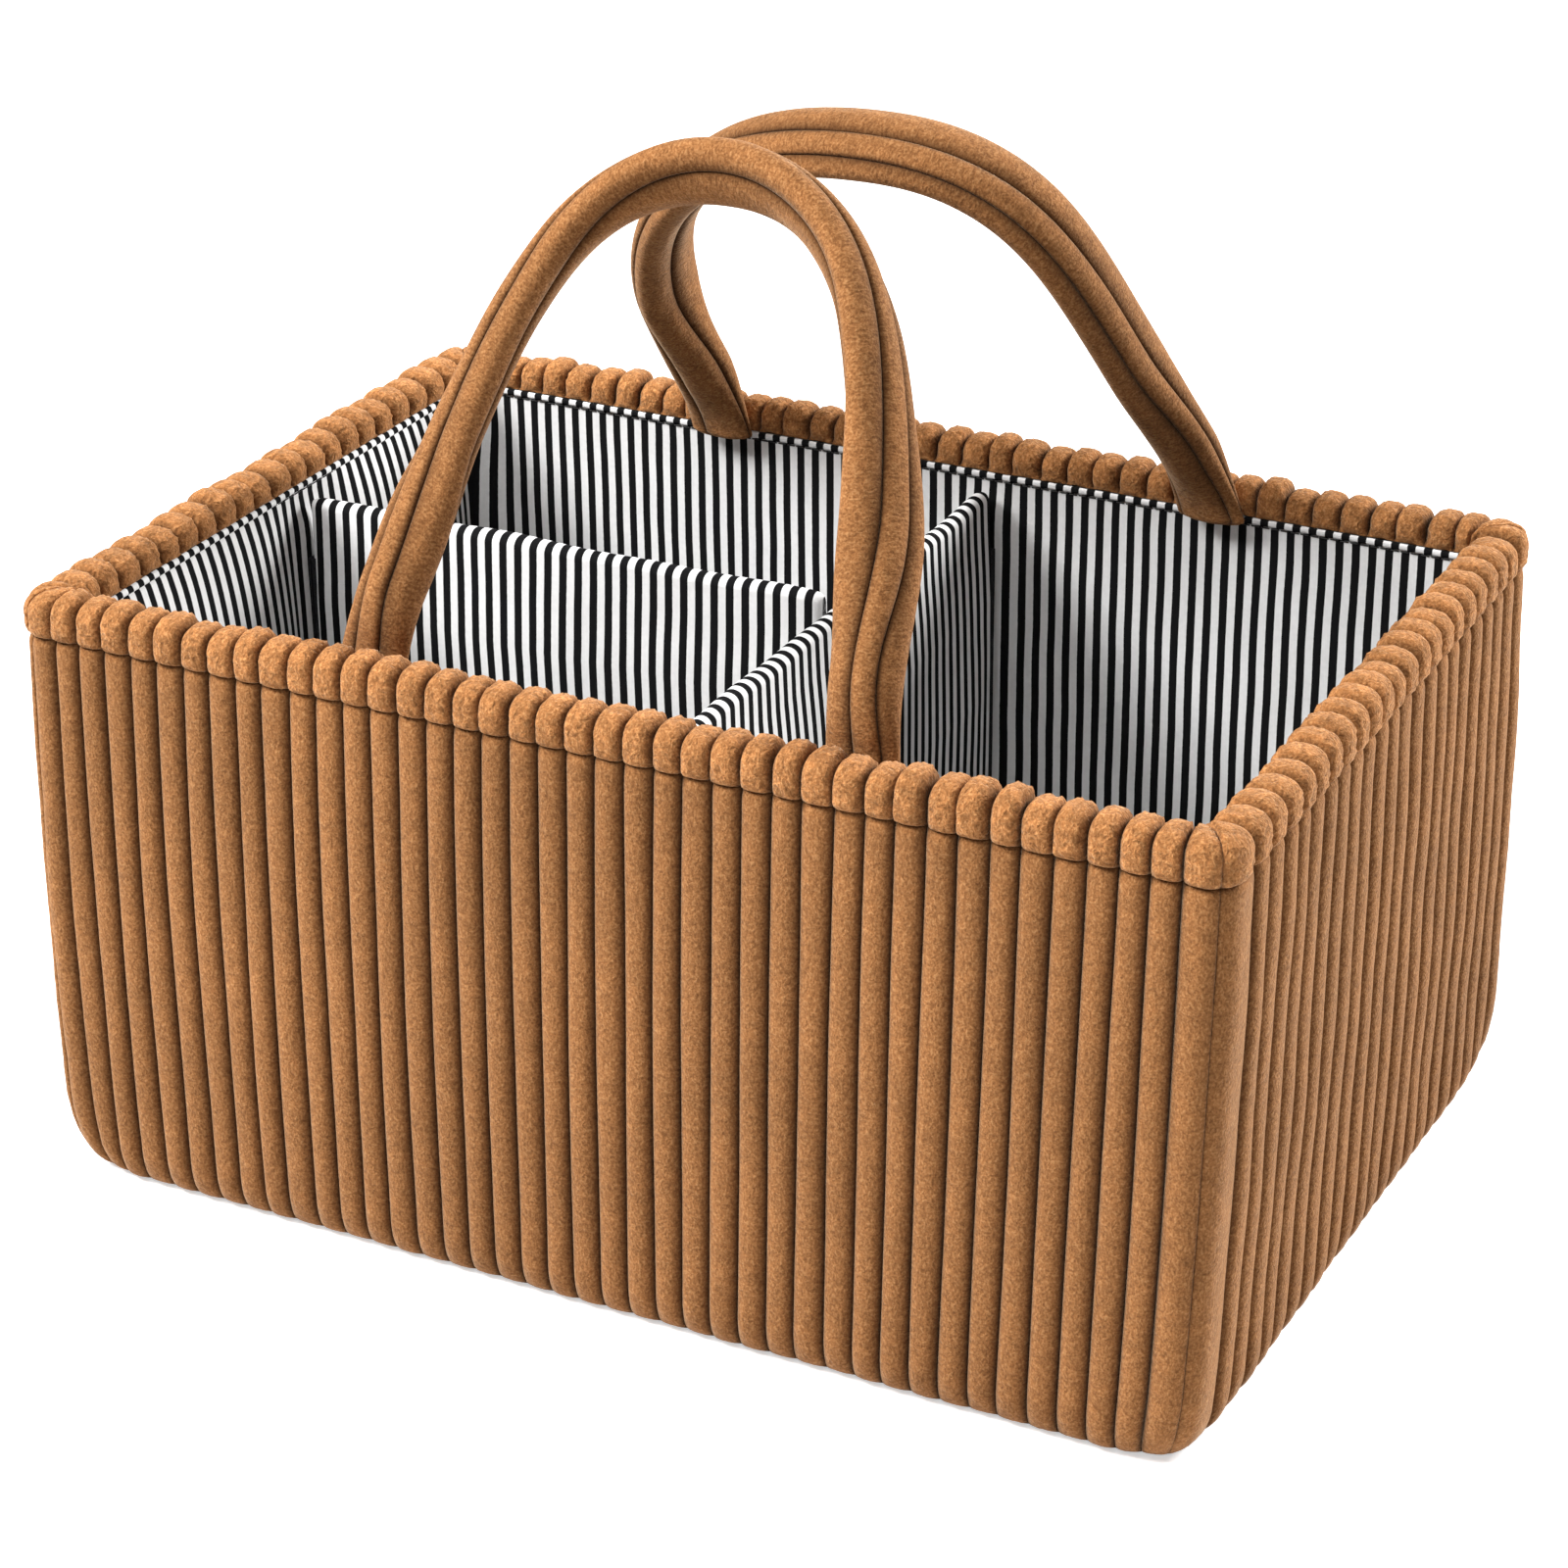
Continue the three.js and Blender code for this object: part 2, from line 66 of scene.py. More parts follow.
# Places taken from the frame, in metres; a depth is measured in from the outermost rim line
WALL_LOW, WALL_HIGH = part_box("outer_panel_front")
HALF_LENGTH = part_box("outer_panel_right")[1].x
HALF_WIDTH = -WALL_LOW.y
RIM_TOP = WALL_HIGH.z
RIM_DEPTH = WALL_HIGH.y - WALL_LOW.y
BOARD_DEPTH = HALF_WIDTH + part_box("wall_board_front")[0].y
LINING_BACK = HALF_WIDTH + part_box("lining_front")[0].y
LINING_FACE = HALF_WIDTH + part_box("lining_front")[1].y
LINING_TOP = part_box("lining_front")[1].z
LINING_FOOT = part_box("lining_front")[0].z
FLOOR_LOW, FLOOR_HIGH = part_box("lining_floor")
BASE_LOW, BASE_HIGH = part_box("outer_base")
PIVOTS = {joint["child"]: Vector(joint["pos_m"]) for joint in frame["joints"] if "pos_m" in joint}

# Clearances and merging
CLEARANCE = 0.0003
SEAM_GAP = 0.00004
MERGE_DISTANCE = 1e-6

# The four sides, each turned from the front: half length, distance from the middle, turn
SIDES = {
    "front": (HALF_LENGTH, HALF_WIDTH, 0.0),
    "right": (HALF_WIDTH, HALF_LENGTH, math.pi / 2),
    "back": (HALF_LENGTH, HALF_WIDTH, math.pi),
    "left": (HALF_WIDTH, HALF_LENGTH, -math.pi / 2),
}


def length_property(name, description, default):
    return FloatProperty(name=name, description=description, default=default, unit="LENGTH", precision=5)


def number_property(name, description, default):
    return FloatProperty(name=name, description=description, default=default)


def angle_property(name, description, degrees):
    return FloatProperty(name=name, description=description, default=math.radians(degrees), subtype="ANGLE")


def turns_property(name, description, *degrees):
    turns = [math.radians(angle) for angle in degrees]
    return FloatVectorProperty(
        name=name, description=description, default=turns, size=len(turns), unit="ROTATION"
    )


def colour_property(name, description, default):
    return FloatVectorProperty(
        name=name, description=description, default=default, subtype="COLOR", size=3, min=0, max=1
    )


class CaddyWallSizes(bpy.types.PropertyGroup):
    """Sizes of the corduroy walls and their puffed rim"""

    front_pitch: length_property("Front wale", "Width of a wale on the long walls", 0.00898)
    side_pitch: length_property("Side wale", "Width of a wale on the short walls", 0.0101)
    long_end_wale: length_property("Long end wale", "Width of a long wall's wale at a corner", 0.0114)
    short_end_wale: length_property("Short end wale", "Width of a short wall's front corner wale", 0.0205)
    back_end_wale: length_property("Back end wale", "Width of a short wall's back corner wale", 0.0050)
    seam_share: number_property("Seam share", "Depth of a corner seam as a share of a groove's", 0.35)
    wale_height: length_property("Wale height", "Depth of the groove between two wales", 0.0034)
    wall_inset: length_property("Wall inset", "How far the wall lies behind the rim puffs", 0.0009)
    corner_radius: length_property("Corner radius", "Radius of the upright corners", 0.010)
    corner_ease: length_property("Corner ease", "Stretch over which the wales ease into a corner", 0.014)
    seam_turn: angle_property("Seam turn", "How far round a corner its seam lies from the long wall", 36)
    rim_lower: length_property("Rim lower", "How far the puffs sink below the wall's full height", 0.0012)
    rim_depth: length_property("Rim depth", "Depth of the rim from its outside to its inside", 0.0152)
    rim_draw: length_property("Rim draw", "How far a short wall's puffs draw to the front corner", 0.0040)
    rim_rise: length_property("Rim rise", "Height of a puff's top above its widest level", 0.0066)
    rim_dip: length_property("Rim dip", "Depth of the groove between two puffs", 0.0042)
    rim_face: length_property("Rim face", "Height from the rim's top to where a puff turns under", 0.0112)
    rim_drop: length_property("Rim drop", "Height of the rim from its top to the pinch", 0.0142)
    rim_squareness: number_property("Rim squareness", "How square a puff's top is", 2.4)
    hem_drop: length_property("Hem drop", "Drop from the rim's top to the hem inside", 0.0107)
    hem_tuck: length_property("Hem tuck", "How far the rim overhangs its hem", 0.0006)
    pinch_crest: length_property("Crest pinch", "How far a crest is drawn in at the pinch", 0.0015)
    pinch_valley: length_property("Groove pinch", "How far a groove is drawn in at the pinch", 0.0006)
    pinch_ease: length_property("Pinch ease", "Height over which a wale swells below the pinch", 0.0036)
    foot_round: length_property("Foot round", "Height of the rounded bottom edge", 0.013)
    foot_lift: length_property("Foot lift", "Gap between the tucked foot and the floor", 0.0003)
    long_flare: length_property("Long flare", "How far the long walls stand out at the foot", 0.0088)
    front_splay: length_property("Front splay", "How far the short walls stand out in front", -0.0026)
    back_splay: length_property("Back splay", "How far the short walls stand out behind", -0.0004)
    foot_corner: length_property("Foot corner", "Reach of the rounding of the lower corners", 0.030)
    foot_tuck: length_property("Foot tuck", "How far the lower corners are drawn in", 0.0046)
    bow: length_property("Bow", "How far the walls swell halfway up", 0.0012)
    waver: length_property("Waver", "Unevenness of the hand-sewn wales", 0.00018)
    puff_waver: length_property("Puff waver", "Unevenness of the rim puffs", 0.0005)
    tuft: length_property("Tuft", "Height of the tufts of the pile on the puffs", 0.00022)


class CaddyLiningSizes(bpy.types.PropertyGroup):
    """Sizes of the striped lining, its hem and the dividers"""

    cloth: length_property("Cloth", "Thickness of the striped cotton", 0.0008)
    stripe_pitch: length_property("Stripe pitch", "Width of a black and a white stripe together", 0.00525)
    hem_height: length_property("Hem height", "Height of the folded hem at the lining's top", 0.0022)
    hem_fold: length_property("Hem fold", "How far the folded hem stands out", 0.0008)
    stitch_pitch: length_property("Stitch pitch", "Distance between two stitches of the hem", 0.0032)
    thread: length_property("Thread", "Radius of the sewing thread", 0.00022)
    billow: length_property("Billow", "Unevenness of the lining", 0.00025)
    sag: length_property("Sag", "How far the loose lining of the left wall swells inwards", 0.0090)
    sag_ease: length_property("Sag ease", "Drop below the hem over which the lining swells", 0.022)
    corner_fill: length_property("Corner fill", "How far the lining bridges the back left corner", 0.026)
    tape_seat: length_property("Tape seat", "How far the lining is pulled in beside a tape", 0.0018)
    hem_shift: length_property("Hem shift", "Offset of the hem's stripes from the lining's", 0.0020)
    pad_reach: length_property("Pad reach", "How far a divider's padding reaches over its end tapes", 0.0018)
    pad_swell: length_property("Pad swell", "How much a divider swells between its ends", 0.0008)
    pad_waver: length_property("Pad waver", "Unevenness of a divider's padding", 0.00035)
    pad_taper: number_property("Pad taper", "Share by which a divider thins to its top", 0.36)
    pad_corner: length_property("Pad corner", "Radius of a divider's edges", 0.0042)


class CaddyHandleSizes(bpy.types.PropertyGroup):
    """Sizes of the two stuffed handles"""

    lean: angle_property("Lean", "How far the handles lean inwards", 30)
    front_rise: length_property("Front rise", "Height of the front arch in its own plane", 0.1272)
    front_roundness: number_property("Front roundness", "Fullness of the front arch", 2.16)
    front_waist: length_property("Front waist", "How far the front arch is drawn in halfway up", 0.0041)
    front_tilt: length_property("Front tilt", "How far the front arch's top leans along the rim", 0.0)
    front_sway: length_property("Front sway", "How far the front arch's legs lean along the rim", 0.0)
    front_wide: length_property("Front wide", "Half the front handle's larger width", 0.0125)
    front_thin: length_property("Front thin", "Half the front handle's smaller width", 0.0074)
    front_turns: turns_property("Front turns", "Turn of the section, leg to leg", -43, -103, -120, -60, -29)
    front_wales: turns_property("Front wales", "Place of the narrow wale, leg to leg", 52, 80, 86, 80, 57)
    back_rise: length_property("Back rise", "Height of the back arch in its own plane", 0.1138)
    back_roundness: number_property("Back roundness", "Fullness of the back arch", 2.3)
    back_waist: length_property("Back waist", "How far the back arch is drawn in halfway up", 0.00225)
    back_tilt: length_property("Back tilt", "How far the back arch's top leans along the rim", 0.0045)
    back_sway: length_property("Back sway", "How far the back arch's legs lean along the rim", -0.0090)
    back_wide: length_property("Back wide", "Half the back handle's width in its plane", 0.0076)
    back_thin: length_property("Back thin", "Half the back handle's width across its plane", 0.0124)
    back_turns: turns_property("Back turns", "Turn of the section, leg to leg", 18, 5, 0, 0, 0)
    back_wales: turns_property("Back wales", "Place of the narrow wale, leg to leg", -64, -55, -54, -52, -46)
    narrow_lobe: angle_property("Narrow lobe", "Angle round a handle that the narrow wale takes", 48)
    lobes: IntProperty(name="Lobes", description="Wales round a handle, one of them narrow", default=4)
    lobe_depth: length_property("Lobe depth", "Depth of the groove between two wales", 0.0021)
    front_splay: length_property("Front splay", "Shift of the front handle's left sewn end", -0.0036)
    back_splay: length_property("Back splay", "Shift of the back handle's left sewn end", 0.0)
    root_slant: number_property("Root slant", "Share of a leg's slant that its end keeps", 0.85)
    root_drop: length_property("Root drop", "How far a sewn end reaches below the rim's hem", 0.0022)
    root_close: length_property("Root close", "Length over which a sewn end rounds off", 0.0024)
    root_width: length_property("Root width", "Half the width of a sewn end", 0.0110)
    root_thickness: length_property("Root thickness", "Half the thickness of a sewn end", 0.0026)
    knuckle_width: length_property("Knuckle width", "Half the width where a handle bends", 0.0104)
    knuckle_radius: length_property("Knuckle radius", "Half the thickness where a handle bends", 0.0088)


class CaddyColours(bpy.types.PropertyGroup):
    """Colours of the cloth, the tapes and the boards"""

    pile: colour_property("Pile", "Body colour of the corduroy", (0.274, 0.115, 0.0385))
    # The tips are paler as painted sheen on the pile; the shade colour is painted shade deep in the pile
    tips: colour_property("Tips", "Colour of the brushed tips of the pile", (0.388, 0.188, 0.073))
    shade: colour_property("Shade", "Colour deep in the pile", (0.172, 0.068, 0.022))
    # The groove colour is painted shade down between two wales
    groove: colour_property("Groove", "Colour down between two wales", (0.028, 0.0098, 0.0030))
    white: colour_property("White stripe", "Colour of the pale stripes", (0.82, 0.82, 0.815))
    black: colour_property("Black stripe", "Colour of the dark stripes", (0.008, 0.008, 0.0085))
    thread: colour_property("Thread", "Colour of the hem's stitches", (0.035, 0.034, 0.034))
    tape: colour_property("Tape", "Colour of the hook-and-loop tapes", (0.018, 0.018, 0.020))
    foam: colour_property("Foam", "Colour of the boards inside", (0.78, 0.77, 0.73))


def walls():
    return bpy.context.scene.caddy_walls


def lining():
    return bpy.context.scene.caddy_lining


def handles():
    return bpy.context.scene.caddy_handles


def colours():
    return bpy.context.scene.caddy_colours


# Modelling helpers


def clear_selection():
    if bpy.context.object and bpy.context.object.mode != "OBJECT":
        bpy.ops.object.mode_set(mode="OBJECT")
    bpy.ops.object.select_all(action="DESELECT")


def add_cloth(name, columns, rows):
    """Adds a flat grid two metres across, to be shaped into a piece of cloth."""
    clear_selection()
    bpy.ops.mesh.primitive_grid_add(x_subdivisions=columns, y_subdivisions=rows, size=2)
    piece = bpy.context.object
    piece.name = name
    piece.data.name = name
    return piece


def vertices_of(mesh):
    flat = np.empty(3 * len(mesh.vertices))
    mesh.vertices.foreach_get("co", flat)
    return flat.reshape(-1, 3)


def shape_cloth(piece, place, columns, rows):
    """Moves each grid point to its place and lays the UV map and the crest and rim shares on the cloth."""
    mesh = piece.data
    grid = vertices_of(mesh)
    column = np.rint((grid[:, 0] + 1) / 2 * columns).astype(int)
    row = np.rint((grid[:, 1] + 1) / 2 * rows).astype(int)
    points, uv, *shares = place(column, row)
    mesh.vertices.foreach_set("co", points.ravel())
    corner_vertex = np.empty(len(mesh.loops), int)
    mesh.loops.foreach_get("vertex_index", corner_vertex)
    mesh.uv_layers.active.data.foreach_set("uv", uv[corner_vertex].ravel())
    for name, values in zip(("crest", "rim"), shares):
        attribute = mesh.attributes.new(name, "FLOAT", "POINT")
        attribute.data.foreach_set("value", values)
    mesh.update()


def close_cloth(piece, sharp_angle=math.radians(75)):
    """Merges the edges that meet, fills the open ends and turns the faces outwards."""
    bpy.ops.object.mode_set(mode="EDIT")
    bpy.ops.mesh.select_all(action="SELECT")
    bpy.ops.mesh.remove_doubles(threshold=MERGE_DISTANCE)
    bpy.ops.mesh.select_all(action="SELECT")
    bpy.ops.mesh.fill_holes(sides=0)
    bpy.ops.mesh.select_all(action="SELECT")
    bpy.ops.mesh.normals_make_consistent(inside=False)
    bpy.ops.object.mode_set(mode="OBJECT")
    bpy.ops.object.shade_smooth_by_angle(angle=sharp_angle)


def thicken_cloth(piece, thickness):
    """Gives an open sheet its thickness, behind its face."""
    modifier = piece.modifiers.new("Thickness", "SOLIDIFY")
    modifier.thickness = thickness
    modifier.offset = -1
    bpy.ops.object.modifier_apply(modifier=modifier.name)
    bpy.ops.object.shade_smooth_by_angle(angle=math.radians(50))


def flip_faces():
    """Turns the faces of the active piece round."""
    bpy.ops.object.mode_set(mode="EDIT")
    bpy.ops.mesh.select_all(action="SELECT")
    bpy.ops.mesh.flip_normals()
    bpy.ops.object.mode_set(mode="OBJECT")


def turned(points, turn):
    """Points turned about the upright axis."""
    cosine, sine = math.cos(turn), math.sin(turn)
    x = points[:, 0] * cosine - points[:, 1] * sine
    y = points[:, 0] * sine + points[:, 1] * cosine
    return np.column_stack((x, y, points[:, 2]))


def ripples(seed, waves, shortest, longest):
    """A smooth uneven surface of two directions, from minus one to one, that is the same in each run."""
    random = np.random.default_rng(seed)
    angle = random.uniform(0, 2 * math.pi, waves)
    number = 2 * math.pi / random.uniform(shortest, longest, waves)
    phase = random.uniform(0, 2 * math.pi, waves)

    def height(u, v):
        total = np.zeros(np.shape(u))
        for wave in range(waves):
            run = u * math.cos(angle[wave]) + v * math.sin(angle[wave])
            total = total + np.sin(run * number[wave] + phase[wave])
        return total / math.sqrt(waves)

    return height


def smooth_step(value):
    value = np.clip(value, 0, 1)
    return value * value * (3 - 2 * value)


# Materials


def new_material(name, roughness):
    """A material with its shader, and a function that adds a node with its settings and inputs."""
    material = bpy.data.materials.new(name)
    material.use_nodes = True
    tree = material.node_tree
    shader = tree.nodes["Principled BSDF"]
    shader.inputs["Roughness"].default_value = roughness

    def add(kind, inputs=None, **settings):
        node = tree.nodes.new("ShaderNode" + kind)
        for setting, value in settings.items():
            setattr(node, setting, value)
        for socket, value in (inputs or {}).items():
            if isinstance(value, bpy.types.NodeSocket):
                tree.links.new(value, node.inputs[socket])
            else:
                node.inputs[socket].default_value = value
        return node

    return material, shader, add, tree.links.new


# Sockets of a colour Mix node
MIX_FACTOR, MIX_A, MIX_B, MIX_RESULT = 0, 6, 7, 2


def ramp(add, factor, *stops):
    """A colour ramp through stops of place and colour."""
    node = add("ValToRGB", {"Fac": factor})
    elements = node.color_ramp.elements
    while len(elements) < len(stops):
        elements.new(0.5)
    for element, (place, colour) in zip(elements, stops):
        element.position = place
        element.color = (*colour, 1) if hasattr(colour, "__len__") else (colour, colour, colour, 1)
    return node.outputs["Color"]


def mix(add, blend_type, factor, first, second):
    inputs = {MIX_FACTOR: factor, MIX_A: first, MIX_B: second}
    return add("Mix", inputs, data_type="RGBA", blend_type=blend_type).outputs[MIX_RESULT]


def maths(add, operation, first, second=0.0):
    return add("Math", {0: first, 1: second}, operation=operation).outputs["Value"]


def noise(add, place, scale, detail, roughness=0.5, distortion=0.0):
    inputs = {"Vector": place, "Scale": scale, "Detail": detail}
    inputs.update({"Roughness": roughness, "Distortion": distortion})
    return add("TexNoise", inputs).outputs["Fac"]


def bump(add, height, strength, distance, below=None):
    """The normal of a bump, laid over that of a coarser bump where one is given."""
    inputs = {"Height": height, "Strength": strength, "Distance": distance}
    if below is not None:
        inputs["Normal"] = below
    return add("Bump", inputs).outputs["Normal"]


def pile_material(name, strand_scale, spread):
    """Brushed wide-wale corduroy: strands of pile with painted shade deep among them and painted sheen on
    their tips, painted shade in the grooves and along the rim's pinch, painted highlights on the rim's
    clumps, and a soft sheen.
    """
    existing = bpy.data.materials.get(name)
    if existing:
        return existing
    tone = colours()
    material, shader, add, link = new_material(name, 0.95)
    shader.inputs["Specular IOR Level"].default_value = 0.10
    shader.inputs["Sheen Weight"].default_value = 0.30
    shader.inputs["Sheen Roughness"].default_value = 0.40
    shader.inputs["Sheen Tint"].default_value = (1.0, 0.78, 0.55, 1)
    crest = add("Attribute", attribute_name="crest").outputs["Fac"]
    rim = add("Attribute", attribute_name="rim").outputs["Fac"]
    cloth = add("UVMap", uv_map="UVMap").outputs["UV"]
    place = add("TexCoord").outputs["Object"]
    bend = add("TexNoise", {"Vector": cloth, "Scale": 330, "Detail": 1.0}).outputs["Color"]
    bent = add("VectorMath", {0: bend, 1: (0.0022, 0.0022, 0)}, operation="MULTIPLY").outputs["Vector"]
    moved = add("VectorMath", {0: cloth, 1: bent}, operation="ADD").outputs["Vector"]
    strand_place = add("Mapping", {"Vector": moved, "Scale": strand_scale}).outputs["Vector"]
    strands = noise(add, strand_place, 1300, 2.0, 0.55)
    fuzz = noise(add, place, 1500, 2.0, 0.6)
    nap = noise(add, place, 240, 3.0, 0.55)
    drift = noise(add, place, 16, 2.0)
    clumps = noise(add, place, 380, 3.0, 0.6, 1.3)
    hair_height = maths(add, "MULTIPLY", maths(add, "ADD", strands, fuzz), 0.5)
    # Random strands of pile, from painted shade deep among them through the pile colour to tips made paler as
    # painted sheen
    hairs = ramp(add, hair_height, (0.5 - spread, tone.shade), (0.50, tone.pile), (0.5 + spread, tone.tips))
    nap_tone = ramp(add, nap, (0.32, 0.88), (0.68, 1.11))
    napped = mix(add, "MULTIPLY", 1.0, hairs, nap_tone)
    # On the rim, random clumps of pile, whose bright end is painted highlight on the puffs
    clump_and_highlight_tone = ramp(add, clumps, (0.32, 0.92), (0.66, 1.72))
    napped = mix(add, "MULTIPLY", rim, napped, clump_and_highlight_tone)
    drift_tone = ramp(add, drift, (0.35, 0.90), (0.65, 1.08))
    drifted = mix(add, "MULTIPLY", 1.0, napped, drift_tone)
    # Painted shade: where the crest share is low, in the grooves, along the rim's pinch and on a wall's
    # hidden inside, the groove colour takes over
    unshaded_share = ramp(add, crest, (0.05, 0.0), (0.50, 0.46), (0.90, 1.0))
    link(mix(add, "MIX", unshaded_share, (*tone.groove, 1), drifted), shader.inputs["Base Color"])
    nap_normal = bump(add, nap, 0.40, 0.0012)
    clump_normal = bump(add, clumps, maths(add, "MULTIPLY", rim, 0.55), 0.0016, nap_normal)
    link(bump(add, hair_height, 0.55, 0.0008, clump_normal), shader.inputs["Normal"])
    return material


def wall_pile():
    """Corduroy whose pile lies mostly along the wales."""
    return pile_material("caramel_corduroy", (1.0, 0.55, 1.0), 0.14)


def handle_pile():
    """Corduroy whose pile is brushed across the wales."""
    return pile_material("caramel_corduroy_brushed", (0.38, 1.0, 1.0), 0.12)


def striped_material():
    """Woven cotton with narrow black and white stripes across the UV map, which is in metres."""
    existing = bpy.data.materials.get("striped_cotton")
    if existing:
        return existing
    tone = colours()
    material, shader, add, link = new_material("striped_cotton", 0.9)
    shader.inputs["Specular IOR Level"].default_value = 0.05
    cloth = add("UVMap", uv_map="UVMap").outputs["UV"]
    place = add("TexCoord").outputs["Object"]
    yarn = noise(add, place, 700, 2.0)
    sway = noise(add, place, 45, 1.0)
    shift = maths(add, "ADD", maths(add, "MULTIPLY", yarn, 0.00012), maths(add, "MULTIPLY", sway, 0.0006))
    across = maths(add, "ADD", add("SeparateXYZ", {"Vector": cloth}).outputs["X"], shift)
    share = maths(add, "FRACT", maths(add, "DIVIDE", across, lining().stripe_pitch))
    striped = ramp(add, share, (0.0, tone.black), (0.02, tone.white), (0.49, tone.white), (0.52, tone.black))
    shade = ramp(add, yarn, (0.25, 0.95), (0.75, 1.02))
    link(mix(add, "MULTIPLY", 1.0, striped, shade), shader.inputs["Base Color"])
    threads = {"Vector": cloth, "Scale": 620.0}
    warp = add("TexWave", threads, wave_type="BANDS", bands_direction="X").outputs["Fac"]
    weft = add("TexWave", threads, wave_type="BANDS", bands_direction="Y").outputs["Fac"]
    weave_normal = bump(add, maths(add, "MULTIPLY", warp, weft), 0.25, 0.0002)
    link(bump(add, sway, 0.25, 0.002, weave_normal), shader.inputs["Normal"])
    return material


def speckled_material(name, colour, roughness, grain, depth, contrast):
    """A matt finish with a fine grain, for thread, tape and foam."""
    existing = bpy.data.materials.get(name)
    if existing:
        return existing
    material, shader, add, link = new_material(name, roughness)
    shader.inputs["Specular IOR Level"].default_value = 0.25
    place = add("TexCoord").outputs["Object"]
    speckle = noise(add, place, grain, 3.0, 0.65)
    dark = [c * (1 - contrast) for c in colour]
    pale = [min(1, c * (1 + contrast)) for c in colour]
    link(ramp(add, speckle, (0.3, dark), (0.7, pale)), shader.inputs["Base Color"])
    link(bump(add, speckle, 0.6, depth), shader.inputs["Normal"])
    return material


def dress(piece, material, body):
    """Gives a piece its material and, where one is named, the body that it rides on."""
    piece.data.materials.clear()
    piece.data.materials.append(material)
    if body:
        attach(piece, body)


# Corduroy walls

COLUMNS_PER_WALE = 14
HEM_STEPS, RIM_STEPS, FACE_STEPS, PINCH_STEPS, WALL_STEPS, FOOT_STEPS, INSIDE_STEPS = 3, 20, 3, 6, 40, 9, 3
# Rows over which the rim fades into the wall, and over which the pinch shows
RIM_FADE_ROWS = 4
PINCH_ROWS = 2.5
# How blunt a wale's crest is, and how much blunter a puff's is
WALE_BLUNTNESS = 2.3
PUFF_BLUNTNESS = 1.0
# Share of the draw to the front corner that each next puff keeps
DRAW_KEPT = 0.6
# Height over which a groove's sway goes on by one radian
GROOVE_SWAY = 0.03
# Share by which the pinched line is painted darker, as painted shade under the puffs' ledge
PINCH_SHADE = 0.45
# Drop below the rim's top where a puff's unevenness starts, and the height over which it grows
PUFF_START = 0.009
PUFF_EASE = 0.006


def half_reach(half, depth, turn):
    """Half a wall's length at a depth, from its middle to the seam that lies a turn round the corner."""
    radius = walls().corner_radius - depth
    rounded = half - walls().corner_radius + radius * turn
    return np.where(radius <= 0, half - depth, rounded) - SEAM_GAP / 2


def wall_points(half, distance, seam, along, depth, level):
    """Points on a wall whose middle is at -Y: along it and round its corners, inwards and up."""
    size = walls()
    ease_start = half_reach(half, 0.0, seam) - size.corner_ease
    ease = (half_reach(half, depth, seam) - ease_start) / size.corner_ease
    run = np.abs(along)
    eased = np.where(run <= ease_start, run, ease_start + (run - ease_start) * ease)
    radius = size.corner_radius - depth
    straight = half - size.corner_radius
    flat = (radius <= 0) | (eased <= straight)
    turn = np.where(flat, 0, (eased - straight) / np.where(flat, 1, radius))
    x = np.where(flat, eased, straight + radius * np.sin(turn))
    inward = np.where(flat, depth, size.corner_radius - radius * np.cos(turn))
    return np.column_stack((np.sign(along) * x, inward - distance, level))


def stand_out(points):
    """Lets the walls stand out towards the foot and swell halfway up, and rounds the lower corners."""
    size = walls()
    rise = np.clip(points[:, 2] / RIM_TOP, 0, 1)
    swell = size.bow * np.sin(math.pi * rise)
    splay = size.front_splay + (size.back_splay - size.front_splay) * (1 + points[:, 1] / HALF_WIDTH) / 2
    near_end = smooth_step((np.abs(points[:, 0]) - HALF_LENGTH) / size.foot_corner + 1)
    near_side = smooth_step((np.abs(points[:, 1]) - HALF_WIDTH) / size.foot_corner + 1)
    tuck = size.foot_tuck * near_end * near_side * np.clip(1 - points[:, 2] / size.foot_corner, 0, 1) ** 2
    longer = 1 + (splay * (1 - rise) + swell) / HALF_LENGTH
    wider = 1 + (size.long_flare * (1 - rise) + swell) / HALF_WIDTH
    x = points[:, 0] * longer - np.sign(points[:, 0]) * tuck
    y = points[:, 1] * wider - np.sign(points[:, 1]) * tuck
    return np.column_stack((x, y, points[:, 2]))


def quarter(start, end, steps, upright_first):
    """A quarter of an ellipse from start to end, without its start."""
    turn = np.linspace(0, math.pi / 2, steps + 1)[1:]
    slow, fast = 1 - np.cos(turn), np.sin(turn)
    first, second = (slow, fast) if upright_first else (fast, slow)
    depth = start[0] + (end[0] - start[0]) * first
    level = start[1] + (end[1] - start[1]) * second
    return np.column_stack((depth, level))


